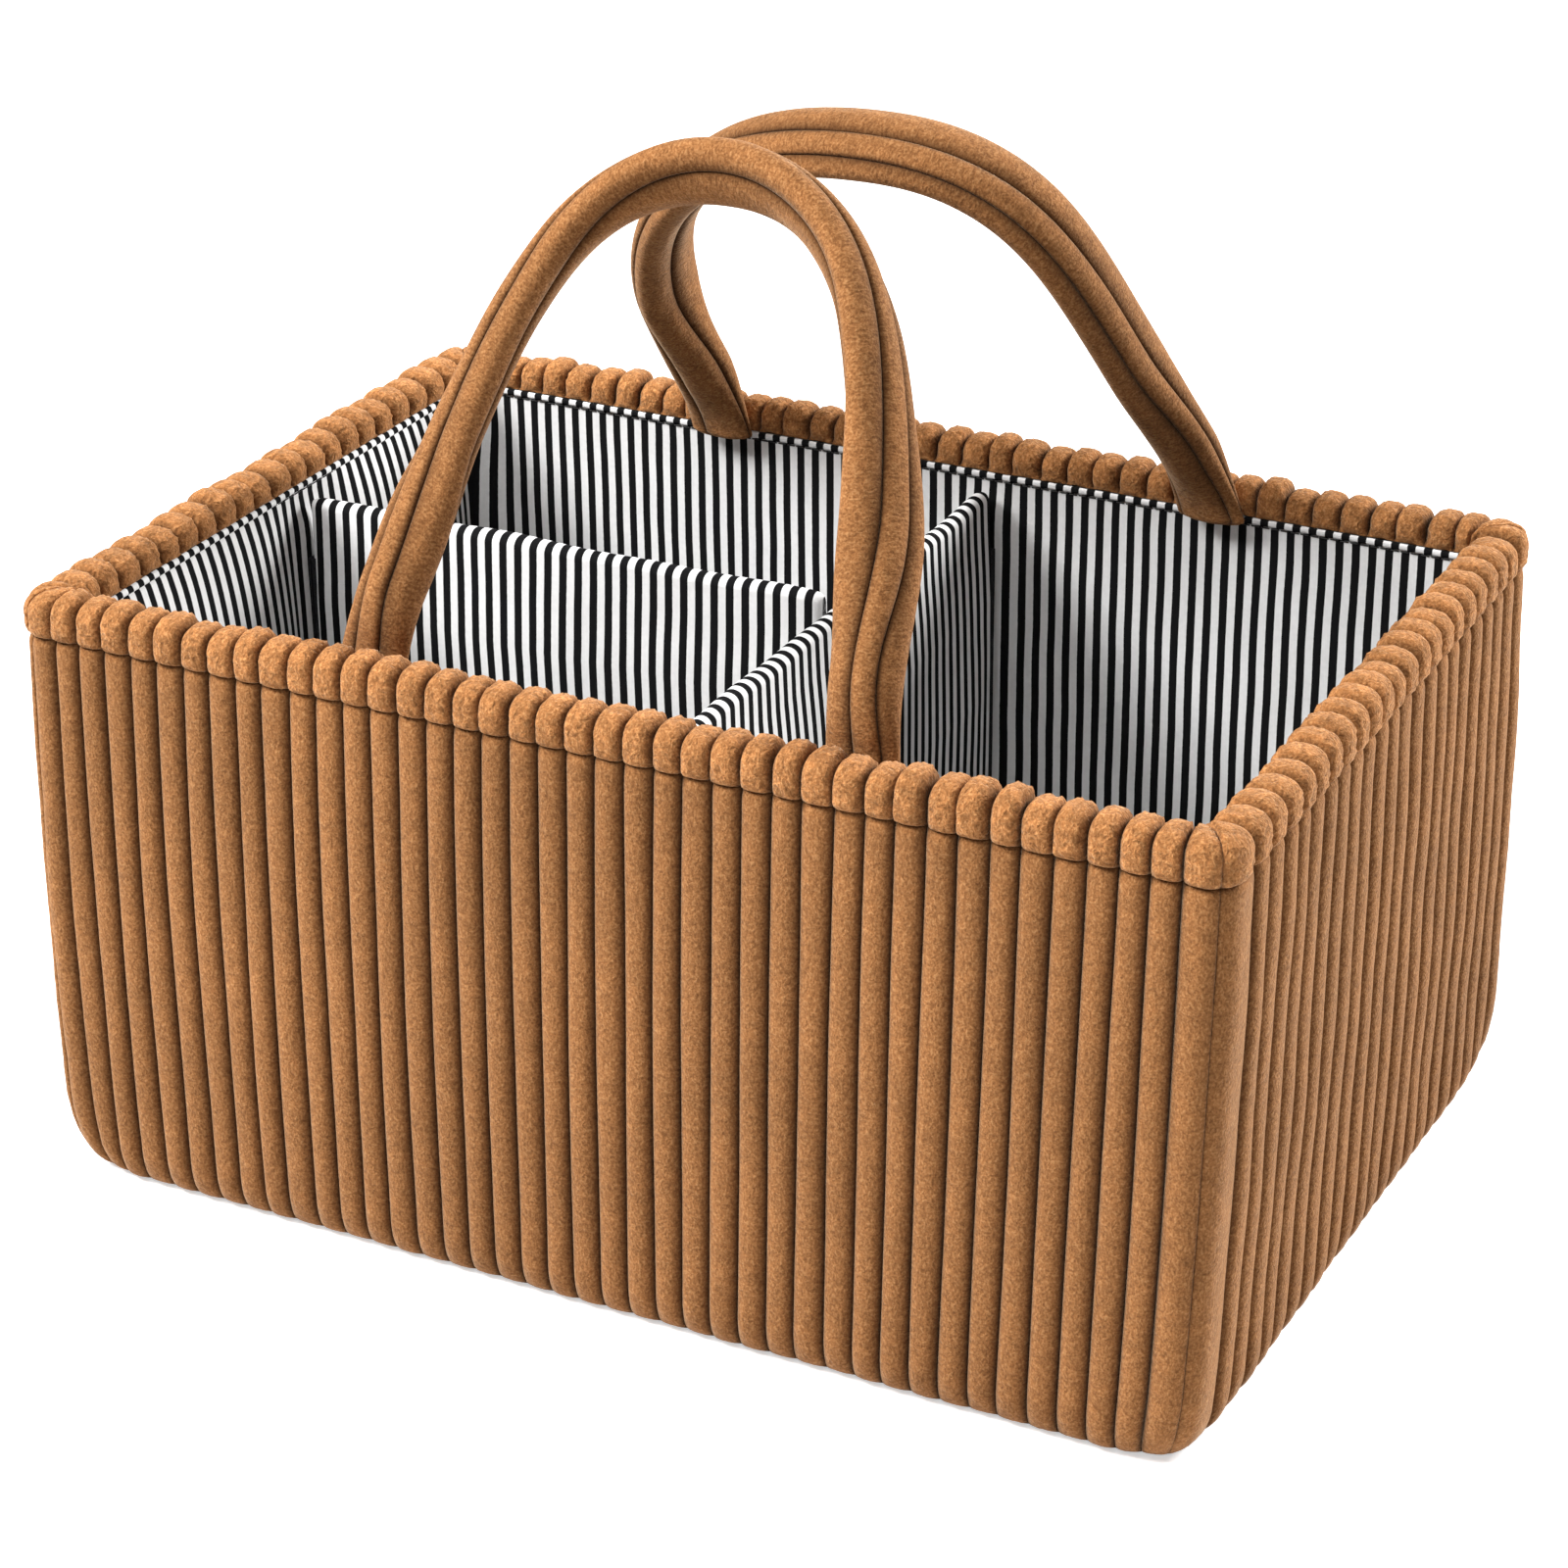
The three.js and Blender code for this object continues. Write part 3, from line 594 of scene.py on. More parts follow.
def wall_outline(crest):
    """Depth and level from the hem over the rim to the foot and up the inside, at a crest or at a groove."""
    size = walls()
    dip = 0 if crest else size.rim_dip
    widest = RIM_TOP - size.rim_lower - size.rim_rise
    pinch_level = RIM_TOP - size.rim_drop
    wall_depth = size.wall_inset if crest else size.wall_inset + size.wale_height
    pinch_depth = wall_depth + (size.pinch_crest if crest else size.pinch_valley)
    inside = BOARD_DEPTH - CLEARANCE
    hem = (size.rim_depth - size.hem_tuck, RIM_TOP - size.hem_drop)
    inner_bulge = (size.rim_depth - dip, widest)
    outer_bulge = (dip, widest)
    face_foot = (dip, RIM_TOP - size.rim_face)
    pinch = (pinch_depth, pinch_level)
    wall_top = (wall_depth, pinch_level - size.pinch_ease)
    wall_foot = (wall_depth, size.foot_round)
    foot = (inside, size.foot_lift)
    over = np.linspace(math.pi, 0, RIM_STEPS + 1)[1:]
    half = size.rim_depth / 2
    power = 2 / size.rim_squareness
    across = np.sign(np.cos(over)) * np.abs(np.cos(over)) ** power
    up = np.clip(np.sin(over), 0, 1) ** power
    rim = np.column_stack((half - (half - dip) * across, widest + (size.rim_rise - dip) * up))
    stretches = [
        np.array([hem]),
        quarter(hem, inner_bulge, HEM_STEPS, False),
        rim,
        np.linspace(outer_bulge, face_foot, FACE_STEPS + 1)[1:],
        quarter(face_foot, pinch, PINCH_STEPS, True),
        quarter(pinch, wall_top, PINCH_STEPS, False),
        np.linspace(wall_top, wall_foot, WALL_STEPS + 1)[1:],
        quarter(wall_foot, foot, FOOT_STEPS, True),
        np.linspace(foot, (inside, hem[1]), INSIDE_STEPS),
        np.array([hem]),
    ]
    return np.vstack(stretches)


def groove_places(side, reach):
    """The lines between the wales of a wall, whose end wales go round the corners."""
    size = walls()
    long_side = side in ("front", "back")
    pitch = size.front_pitch if long_side else size.side_pitch
    start = 0.0 if long_side else size.short_end_wale
    end = size.long_end_wale if long_side else size.back_end_wale
    inner = np.linspace(start - reach, reach - end, round((2 * reach - start - end) / pitch) + 1)
    return np.concatenate((inner if long_side else [-reach, *inner], [reach]))


def make_wall(side, seed):
    """One corduroy wall: wales, puffed rim, pinched line, rounded foot and closed seam ends."""
    size = walls()
    half, distance, turn = SIDES[side]
    seam = size.seam_turn if side in ("front", "back") else math.pi / 2 - size.seam_turn
    reach = float(half_reach(half, 0.0, seam))
    grooves = groove_places(side, reach)
    wales = len(grooves) - 1
    columns = wales * COLUMNS_PER_WALE
    crest_rows, groove_rows = wall_outline(True), wall_outline(False)
    rows = len(crest_rows) - 1
    steps = np.linalg.norm(np.diff(crest_rows, axis=0), axis=1)
    run = np.concatenate(([0], np.cumsum(steps)))
    row_count = np.arange(rows + 1)
    rim_end = HEM_STEPS + RIM_STEPS + FACE_STEPS + PINCH_STEPS
    rim_share = smooth_step((rim_end + 1 - row_count) / RIM_FADE_ROWS) * smooth_step(row_count / HEM_STEPS)
    inner_start = rim_end + PINCH_STEPS + WALL_STEPS + FOOT_STEPS
    outside = (row_count <= inner_start).astype(float)
    pinched = np.exp(-(((row_count - rim_end) / PINCH_ROWS) ** 2))
    random = np.random.default_rng(seed)
    groove_shift = random.normal(0, size.waver, wales + 1)
    groove_shift[[0, -1]] = 0
    groove_phase = random.uniform(0, 2 * math.pi, wales + 1)
    corner_draw = np.zeros(wales + 1)
    if side in ("left", "right"):
        corner_draw[1:-1] = size.rim_draw * DRAW_KEPT ** np.arange(wales - 1)
    fullness = random.normal(0, 1, wales)
    puff_lift = random.normal(0, 1, wales)
    puff_lean = random.normal(0, 1, wales)
    swell = ripples(seed + 50, 5, 0.03, 0.09)
    tufts = ripples(seed + 70, 14, 0.0016, 0.0040)

    def place(column, row):
        wale = np.minimum(column // COLUMNS_PER_WALE, wales - 1)
        across = (column - wale * COLUMNS_PER_WALE) * 2 / COLUMNS_PER_WALE - 1
        t = np.sin(across * math.pi / 2)
        bluntness = WALE_BLUNTNESS + PUFF_BLUNTNESS * rim_share[row]
        crest = np.sqrt(np.clip(1 - np.abs(t) ** bluntness, 0, 1))
        at_seam = ((wale == 0) & (t < 0)) | ((wale == wales - 1) & (t > 0))
        crest = np.where(at_seam, 1 - size.seam_share * (1 - crest), crest)
        level_here = crest_rows[row, 1]

        def groove_line(index):
            ends = np.minimum(index, wales - index).clip(0, 1)
            sway = size.waver * np.sin(level_here / GROOVE_SWAY + groove_phase[index]) * ends
            draw = corner_draw[index] * rim_share[row]
            return grooves[index] + groove_shift[index] + sway - draw

        left, right = groove_line(wale), groove_line(wale + 1)
        along = left + (right - left) * (1 + t) / 2
        lean = size.puff_waver * puff_lean[wale] * crest * rim_share[row]
        along = np.clip(along + lean, -reach, reach)
        section = groove_rows[row] + (crest_rows[row] - groove_rows[row]) * crest[:, None]
        uneven = size.waver * (0.6 * fullness[wale] + swell(along * 3, level_here)) * crest
        tuft = size.tuft * tufts(along, run[row]) * crest * outside[row] * (0.25 + 0.75 * rim_share[row])
        depth = section[:, 0] + (uneven * (1 - rim_share[row]) + tuft * (1 - pinched[row])) * outside[row]
        lift = (size.puff_waver * puff_lift[wale] * crest + tuft) * rim_share[row]
        level = section[:, 1] + lift * smooth_step((section[:, 1] - RIM_TOP + PUFF_START) / PUFF_EASE)
        points = stand_out(turned(wall_points(half, distance, seam, along, depth, level), turn))
        # Painted shade: the crest share is darkened along the pinch, and is nought on the wall's inside, so
        # the pile material paints the groove's shade there
        dark = 1 - PINCH_SHADE * pinched[row]
        uv = np.column_stack((along, run[row]))
        return points, uv, crest * outside[row] * dark, rim_share[row] * outside[row]

    piece = add_cloth(f"corduroy_wall_{side}", columns, rows)
    shape_cloth(piece, place, columns, rows)
    close_cloth(piece)
    dress(piece, wall_pile(), "caddy")
    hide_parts(f"outer_panel_{side}")


class CADDY_OT_walls(bpy.types.Operator):
    """Adds the four padded corduroy walls with their puffed rim"""

    bl_idname = "caddy.walls"
    bl_label = "Corduroy Walls"
    bl_options = {"REGISTER", "UNDO"}

    def execute(self, context):
        for seed, side in enumerate(SIDES):
            make_wall(side, seed + 11)
        return {"FINISHED"}


class CADDY_OT_base(bpy.types.Operator):
    """Adds the corduroy base, whose wales run along the caddy underneath"""

    bl_idname = "caddy.base"
    bl_label = "Corduroy Base"
    bl_options = {"REGISTER", "UNDO"}

    def execute(self, context):
        size = walls()
        wales = round((BASE_HIGH.y - BASE_LOW.y) / size.front_pitch)
        columns, rows = 48, wales * 6
        half = Vector((BASE_HIGH.x, BASE_HIGH.y))
        corner = size.corner_radius - BOARD_DEPTH
        relief = 0.0008

        def place(column, row):
            v = 2 * row / rows - 1
            y = half.y * v
            overrun = np.clip((np.abs(y) - (half.y - corner)) / corner, 0, 1)
            x = (2 * column / columns - 1) * (half.x - corner * (1 - np.sqrt(1 - overrun**2)))
            crest = np.abs(np.sin(math.pi * wales * (v + 1) / 2))
            z = BASE_LOW.z + relief * (1 - crest)
            # The crest share is low in the grooves, where the pile material paints shade
            return stand_out(np.column_stack((x, y, z))), np.column_stack((y, x)), crest

        piece = add_cloth("corduroy_base", columns, rows)
        shape_cloth(piece, place, columns, rows)
        flip_faces()
        thicken_cloth(piece, BASE_HIGH.z - BASE_LOW.z - relief)
        dress(piece, wall_pile(), "caddy")
        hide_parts("outer_base")
        return {"FINISHED"}


# Striped lining

# Depth and width of the groove that the hem's stitches pull
STITCH_GROOVE = 0.0003
STITCH_GROOVE_WIDTH = 0.0005
# Share of a stitch's pitch that shows, and its drop below the hem
STITCH_SHOWN = 0.78
STITCH_DROP = 0.0004
# Stretches over which the loose lining settles at its foot, its ends and the tapes
FOOT_EASE = 0.05
END_EASE = 0.03
TAPE_HOLD = 0.009
TAPE_EASE = 0.020
# Share of its swell that the loose lining keeps at its ends
END_SWELL = 0.35
# Drop below the hem where a tape starts to pull the lining, and the stretch over which it does
SEAT_START = 0.004
SEAT_EASE = 0.012


def hem_profile(below_top):
    """How far the lining stands out from its plane, by the distance below its top edge."""
    size = lining()
    fold_share = np.clip(below_top / size.hem_height, 0, 1)
    fold = size.hem_fold * np.sqrt(np.clip(1 - (2 * fold_share - 1) ** 4, 0, 1))
    groove = STITCH_GROOVE * np.exp(-(((below_top - size.hem_height) / STITCH_GROOVE_WIDTH) ** 2))
    return np.where(below_top < size.hem_height, fold, 0) - groove


def tape_place(side):
    """Where a divider's tape is sewn to a lining wall, along the wall, or nothing for a wall without one."""
    if side == "right":
        return None
    low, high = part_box(f"loop_tape_{side}")
    middle = (low + high) / 2
    return {"front": middle.x, "back": -middle.x, "left": -middle.y}[side]


def loose_lining(side, along, below, level, reach):
    """How far the lining swells in: loose on the left, bridged at the back left corner, held at the tapes."""
    size = lining()
    drop = 1 - np.exp(-below / size.sag_ease)
    foot = smooth_step((level - LINING_FOOT) / FOOT_EASE)
    tape = tape_place(side)
    held = np.zeros(len(along)) if tape is None else np.exp(-(((along - tape) / TAPE_HOLD) ** 4))
    swell = np.zeros(len(along))
    if side == "left":
        ends = END_SWELL + (1 - END_SWELL) * smooth_step((reach - np.abs(along)) / END_EASE)
        near_tape = np.exp(-(((along - tape) / TAPE_EASE) ** 2))
        swell = size.sag * ends * drop * foot * (1 - near_tape)
    if side == "back":
        fill = size.corner_fill * drop * foot + MERGE_DISTANCE
        gone = np.clip(1 - (reach - along) / fill, 0, 1)
        swell = np.minimum(fill * (1 - np.sqrt(1 - gone**2)), 0.5 * fill)
    seat = size.tape_seat * smooth_step((below - SEAT_START) / SEAT_EASE) * foot
    return swell * (1 - held) + seat * held


def make_lining(side, seed):
    """One striped lining wall with a folded hem at its top."""
    size = lining()
    half, distance, turn = SIDES[side]
    ends = LINING_FACE + CLEARANCE if side in ("left", "right") else LINING_BACK
    reach = half - ends
    columns = 120
    hem_levels = np.linspace(0, 2 * size.hem_height, 21)[:-1]
    wall_levels = np.linspace(2 * size.hem_height, LINING_TOP - LINING_FOOT, 41)
    below_top = np.concatenate((hem_levels, wall_levels))[::-1]
    rows = len(below_top) - 1
    uneven = ripples(seed, 6, 0.04, 0.13)

    def place(column, row):
        along = reach * (2 * column / columns - 1)
        below = below_top[row]
        level = LINING_TOP - below
        fade = smooth_step((reach - np.abs(along)) / 0.012) * smooth_step(below / 0.02)
        depth = LINING_FACE + hem_profile(below) + size.billow * uneven(along, level) * fade
        depth = depth + loose_lining(side, along, below, level, reach)
        points = turned(np.column_stack((along, depth - distance, level)), turn)
        stripe = along + np.where(below <= size.hem_height, size.hem_shift, 0)
        return points, np.column_stack((stripe, level)), np.ones(len(along))

    piece = add_cloth(f"striped_lining_{side}", columns, rows)
    shape_cloth(piece, place, columns, rows)
    face_inwards(piece, Vector((0, 0, LINING_TOP / 2)))
    thicken_cloth(piece, size.cloth)
    dress(piece, striped_material(), "caddy")
    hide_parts(f"lining_{side}")


def face_inwards(piece, middle):
    """Turns an open sheet so that its face looks towards a point."""
    polygon = piece.data.polygons[len(piece.data.polygons) // 2]
    if polygon.normal.dot(middle - polygon.center) < 0:
        flip_faces()


class CADDY_OT_lining(bpy.types.Operator):
    """Adds the striped lining of the walls and the floor"""

    bl_idname = "caddy.lining"
    bl_label = "Striped Lining"
    bl_options = {"REGISTER", "UNDO"}

    def execute(self, context):
        for seed, side in enumerate(SIDES):
            make_lining(side, seed + 31)
        columns, rows = 60, 40
        low, high = FLOOR_LOW, FLOOR_HIGH
        uneven = ripples(41, 6, 0.05, 0.14)

        def place(column, row):
            x = low.x + (high.x - low.x) * column / columns
            y = low.y + (high.y - low.y) * row / rows
            fade = smooth_step((high.x - np.abs(x)) / 0.02) * smooth_step((high.y - np.abs(y)) / 0.02)
            z = high.z - lining().billow * (1 + uneven(x, y) / 2).clip(0, 2) * fade
            return np.column_stack((x, y, z)), np.column_stack((x, y)), np.ones(len(x))

        piece = add_cloth("striped_lining_floor", columns, rows)
        shape_cloth(piece, place, columns, rows)
        face_inwards(piece, Vector((0, 0, 1)))
        thicken_cloth(piece, lining().cloth)
        dress(piece, striped_material(), "caddy")
        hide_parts("lining_floor")
        return {"FINISHED"}


class CADDY_OT_hem_stitches(bpy.types.Operator):
    """Adds the line of stitches under the lining's folded hem"""

    bl_idname = "caddy.hem_stitches"
    bl_label = "Hem Stitches"
    bl_options = {"REGISTER", "UNDO"}

    def execute(self, context):
        size = lining()
        stitch_length = STITCH_SHOWN * size.stitch_pitch
        for side, (half, distance, turn) in SIDES.items():
            reach = half - LINING_FACE - size.stitch_pitch
            count = int(2 * reach / size.stitch_pitch)
            start = -(count - 1) * size.stitch_pitch / 2
            level = LINING_TOP - size.hem_height - STITCH_DROP
            clear_selection()
            bpy.ops.mesh.primitive_cylinder_add(
                vertices=6,
                radius=size.thread,
                depth=stitch_length,
                location=(start, LINING_FACE - distance + 0.6 * size.thread, level),
                rotation=(0, math.pi / 2, 0),
            )
            piece = bpy.context.object
            piece.name = f"hem_stitches_{side}"
            piece.data.name = piece.name
            bpy.ops.object.transform_apply(location=True, rotation=True, scale=True)
            round_ends(piece)
            row = piece.modifiers.new("Row", "ARRAY")
            row.use_relative_offset = False
            row.use_constant_offset = True
            row.constant_offset_displace = (size.stitch_pitch, 0, 0)
            row.count = count
            bpy.ops.object.modifier_apply(modifier=row.name)
            piece.rotation_euler.z = turn
            bpy.ops.object.transform_apply(location=True, rotation=True, scale=True)
            bpy.ops.object.shade_smooth_by_angle(angle=math.radians(60))
            thread = speckled_material("hem_thread", tuple(colours().thread), 0.7, 2500, 0.0001, 0.25)
            dress(piece, thread, "caddy")
        return {"FINISHED"}


def round_ends(piece):
    """Draws in a stitch's two end faces, so that it dips into the cloth."""
    bpy.ops.object.mode_set(mode="EDIT")
    bpy.ops.mesh.select_mode(type="FACE")
    bpy.ops.mesh.select_all(action="DESELECT")
    bpy.ops.object.mode_set(mode="OBJECT")
    for polygon in piece.data.polygons:
        polygon.select = abs(polygon.normal.x) > 0.9
    bpy.ops.object.mode_set(mode="EDIT")
    bpy.ops.mesh.inset(thickness=0.4 * lining().thread, depth=0.35 * lining().thread)
    bpy.ops.object.mode_set(mode="OBJECT")


# Dividers

# Drop below a divider's top over which it thins
TAPER_DROP = 0.04


def pad_outline(half, low, high, corner):
    """Across and level round a divider's section, from the middle of its bottom edge and back to it."""
    sides = 16
    arc = np.linspace(0, math.pi / 2, 7)
    top_arc = np.linspace(0, math.pi / 2, 9)
    bottom = min(corner, half) * 0.6
    right = [np.array([[0, low], [half - bottom, low]])]
    round_across = half - bottom + bottom * np.sin(arc)
    round_level = low + bottom - bottom * np.cos(arc)
    right.append(np.column_stack((round_across, round_level))[1:])
    crown = 0.6 * half
    levels = np.linspace(low + bottom, high - crown, sides)[1:-1]
    right.append(np.column_stack((np.full(len(levels), half), levels)))
    right.append(np.column_stack((half * np.cos(top_arc), high - crown + crown * np.sin(top_arc))))
    right = np.vstack(right)
    right[:, 0] *= 1 - lining().pad_taper * smooth_step((right[:, 1] - high) / TAPER_DROP + 1)
    left = right[-2::-1] * (-1, 1)
    return np.vstack((right, left))


def make_divider(name, along_x, seed):
    """One padded striped divider, crowned between its ends, with a round top."""
    size = lining()
    low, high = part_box(f"{name}_cover")
    axis, side = (0, 1) if along_x else (1, 0)
    start, end = low[axis] - size.pad_reach, high[axis] + size.pad_reach
    middle = (low[side] + high[side]) / 2
    half = (high[side] - low[side]) / 2 - size.pad_swell
    outline = pad_outline(half, low.z, high.z, size.pad_corner)
    rows = len(outline) - 1
    end_steps = size.pad_corner * (1 - np.cos(np.linspace(0, math.pi / 2, 8)))
    inner = np.linspace(start + size.pad_corner, end - size.pad_corner, 71)
    places = np.concatenate((start + end_steps[:-1], inner, (end - end_steps[:-1])[::-1]))
    columns = len(places) - 1
    uneven = ripples(seed, 7, 0.03, 0.10)
    top_uneven = ripples(seed + 5, 4, 0.03, 0.09)

    def place(column, row):
        run = places[column]
        share = (run - start) / (end - start)
        swell = 1 + size.pad_swell / half * 4 * share * (1 - share)
        to_end = np.minimum(run - start, end - run)
        rounding = np.clip(1 - to_end / size.pad_corner, 0, 1)
        narrow = 0.30 + 0.70 * np.sqrt(1 - rounding**2)
        level = outline[row, 1]
        rise = (level - low.z) / (high.z - low.z)
        crown = 1 + 0.05 * np.sin(math.pi * rise)
        across = outline[row, 0] * swell * narrow
        soft = smooth_step(to_end / 0.02) * smooth_step(rise / 0.1)
        across = across * (1 + (crown - 1) * soft)
        across = across + np.sign(outline[row, 0]) * size.pad_waver * uneven(run, level) * soft
        top = smooth_step((level - high.z + 0.02) / 0.02)
        level = level + top * (size.pad_waver * 1.2 * top_uneven(run, 0 * run) - 0.0012 * rounding**2)
        points = np.zeros((len(run), 3))
        points[:, axis] = run
        points[:, side] = middle + across
        points[:, 2] = level
        return points, np.column_stack((run, level)), np.ones(len(run))

    piece = add_cloth(f"{name}_pad", columns, rows)
    shape_cloth(piece, place, columns, rows)
    close_cloth(piece, math.radians(50))
    dress(piece, striped_material(), name)
    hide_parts(f"{name}_cover")


class CADDY_OT_dividers(bpy.types.Operator):
    """Adds the two padded dividers"""

    bl_idname = "caddy.dividers"
    bl_label = "Padded Dividers"
    bl_options = {"REGISTER", "UNDO"}

    def execute(self, context):
        make_divider("cross_divider", False, 61)
        make_divider("side_divider", True, 71)
        return {"FINISHED"}


class CADDY_OT_tapes_and_boards(bpy.types.Operator):
    """Gives the hook-and-loop tapes and the boards their finishes"""

    bl_idname = "caddy.tapes_and_boards"
    bl_label = "Tapes and Boards"
    bl_options = {"REGISTER", "UNDO"}

    def execute(self, context):
        tape = speckled_material("hook_and_loop_tape", tuple(colours().tape), 0.9, 1600, 0.0006, 0.7)
        foam = speckled_material("foam_board", tuple(colours().foam), 0.85, 900, 0.0004, 0.08)
        for name, node in frame["nodes"].items():
            if "tape" in name or "hook" in name:
                finish = tape
            elif "board" in name:
                finish = foam
            else:
                continue
            node.data.materials.clear()
            node.data.materials.append(finish)
        return {"FINISHED"}


# Handles

HANDLE_ROWS = 150
POINTS_PER_LOBE = 18
# Shares of a handle's length at its right leg, right shoulder, top, left shoulder and left leg
KEY_SHARES = (0.16, 0.38, 0.50, 0.67, 0.88)
# Length of the bend between a sewn end and the pivot
BEND_REACH = 0.012
# Share of an arch's height over which the section settles above its bend
SETTLE_SHARE = 0.35
# Share of their depth that the grooves keep at a sewn end
ROOT_GROOVE = 0.35
# Height above the pivot where the shift of a sewn end starts, and the drop to its full value
SPLAY_START = 0.03
SPLAY_DROP = 0.056


def arch_path(half, rise, roundness, angle):
    """A point of the arch in its own plane: along the rim and up."""
    power = 2 / roundness
    cosine, sine = np.cos(angle), np.clip(np.sin(angle), 0, 1)
    return half * np.sign(cosine) * np.abs(cosine) ** power, rise * sine**power


def along_handle(share, values):
    """Values given from leg to leg, joined smoothly along a handle."""
    steps = HANDLE_ROWS // 20
    weights = np.hanning(2 * steps + 3)[1:-1]
    padded = np.pad(np.interp(share, KEY_SHARES, values), steps, mode="edge")
    return np.convolve(padded, weights / weights.sum(), mode="valid")


def handle_path(half, rise, roundness, waist, tilt, sway):
    """The handle's middle line from its right sewn end to its left one, on the wall at -Y."""
    size = handles()
    lean = size.lean
    inside = RIM_DEPTH - HALF_WIDTH
    pivot = PIVOTS["front_handle"]
    tip = np.array([inside + size.root_thickness * 0.8, RIM_TOP - walls().hem_drop - size.root_drop])
    knee = np.array([pivot.y, pivot.z])
    bend = knee - BEND_REACH * np.array([math.sin(lean), math.cos(lean)])
    share = np.linspace(0, 1, 60)[:-1, None]
    root = (1 - share) ** 2 * tip + 2 * share * (1 - share) * bend + share**2 * knee
    angle = np.linspace(0, math.pi, 800)
    x, up = arch_path(half, rise, roundness, angle)
    halfway = np.sin(math.pi * up / rise)
    x = x * (1 - waist * halfway / half) + tilt * up / rise + sway * halfway
    arch = np.column_stack((x, knee[0] + up * math.sin(lean), knee[1] + up * math.cos(lean)))
    drop = size.root_slant * (knee[1] - root[:, 1]) / (rise * math.cos(lean))
    right = np.column_stack((half - (math.pi * (sway - waist) + tilt) * drop, root))
    left = np.column_stack((-half - (math.pi * (sway + waist) + tilt) * drop, root))[::-1]
    path = np.vstack((right, arch, left))
    run = np.concatenate(([0], np.cumsum(np.linalg.norm(np.diff(path, axis=0), axis=1))))
    root_run = run[len(root)]
    even = np.linspace(0, run[-1], HANDLE_ROWS + 1)
    tip_steps = np.array([0.0004, 0.001, 0.0018, 0.003])
    even = np.sort(np.concatenate((even, tip_steps, run[-1] - tip_steps)))
    middle = np.column_stack([np.interp(even, run, path[:, axis]) for axis in range(3)])
    return middle, even, root_run


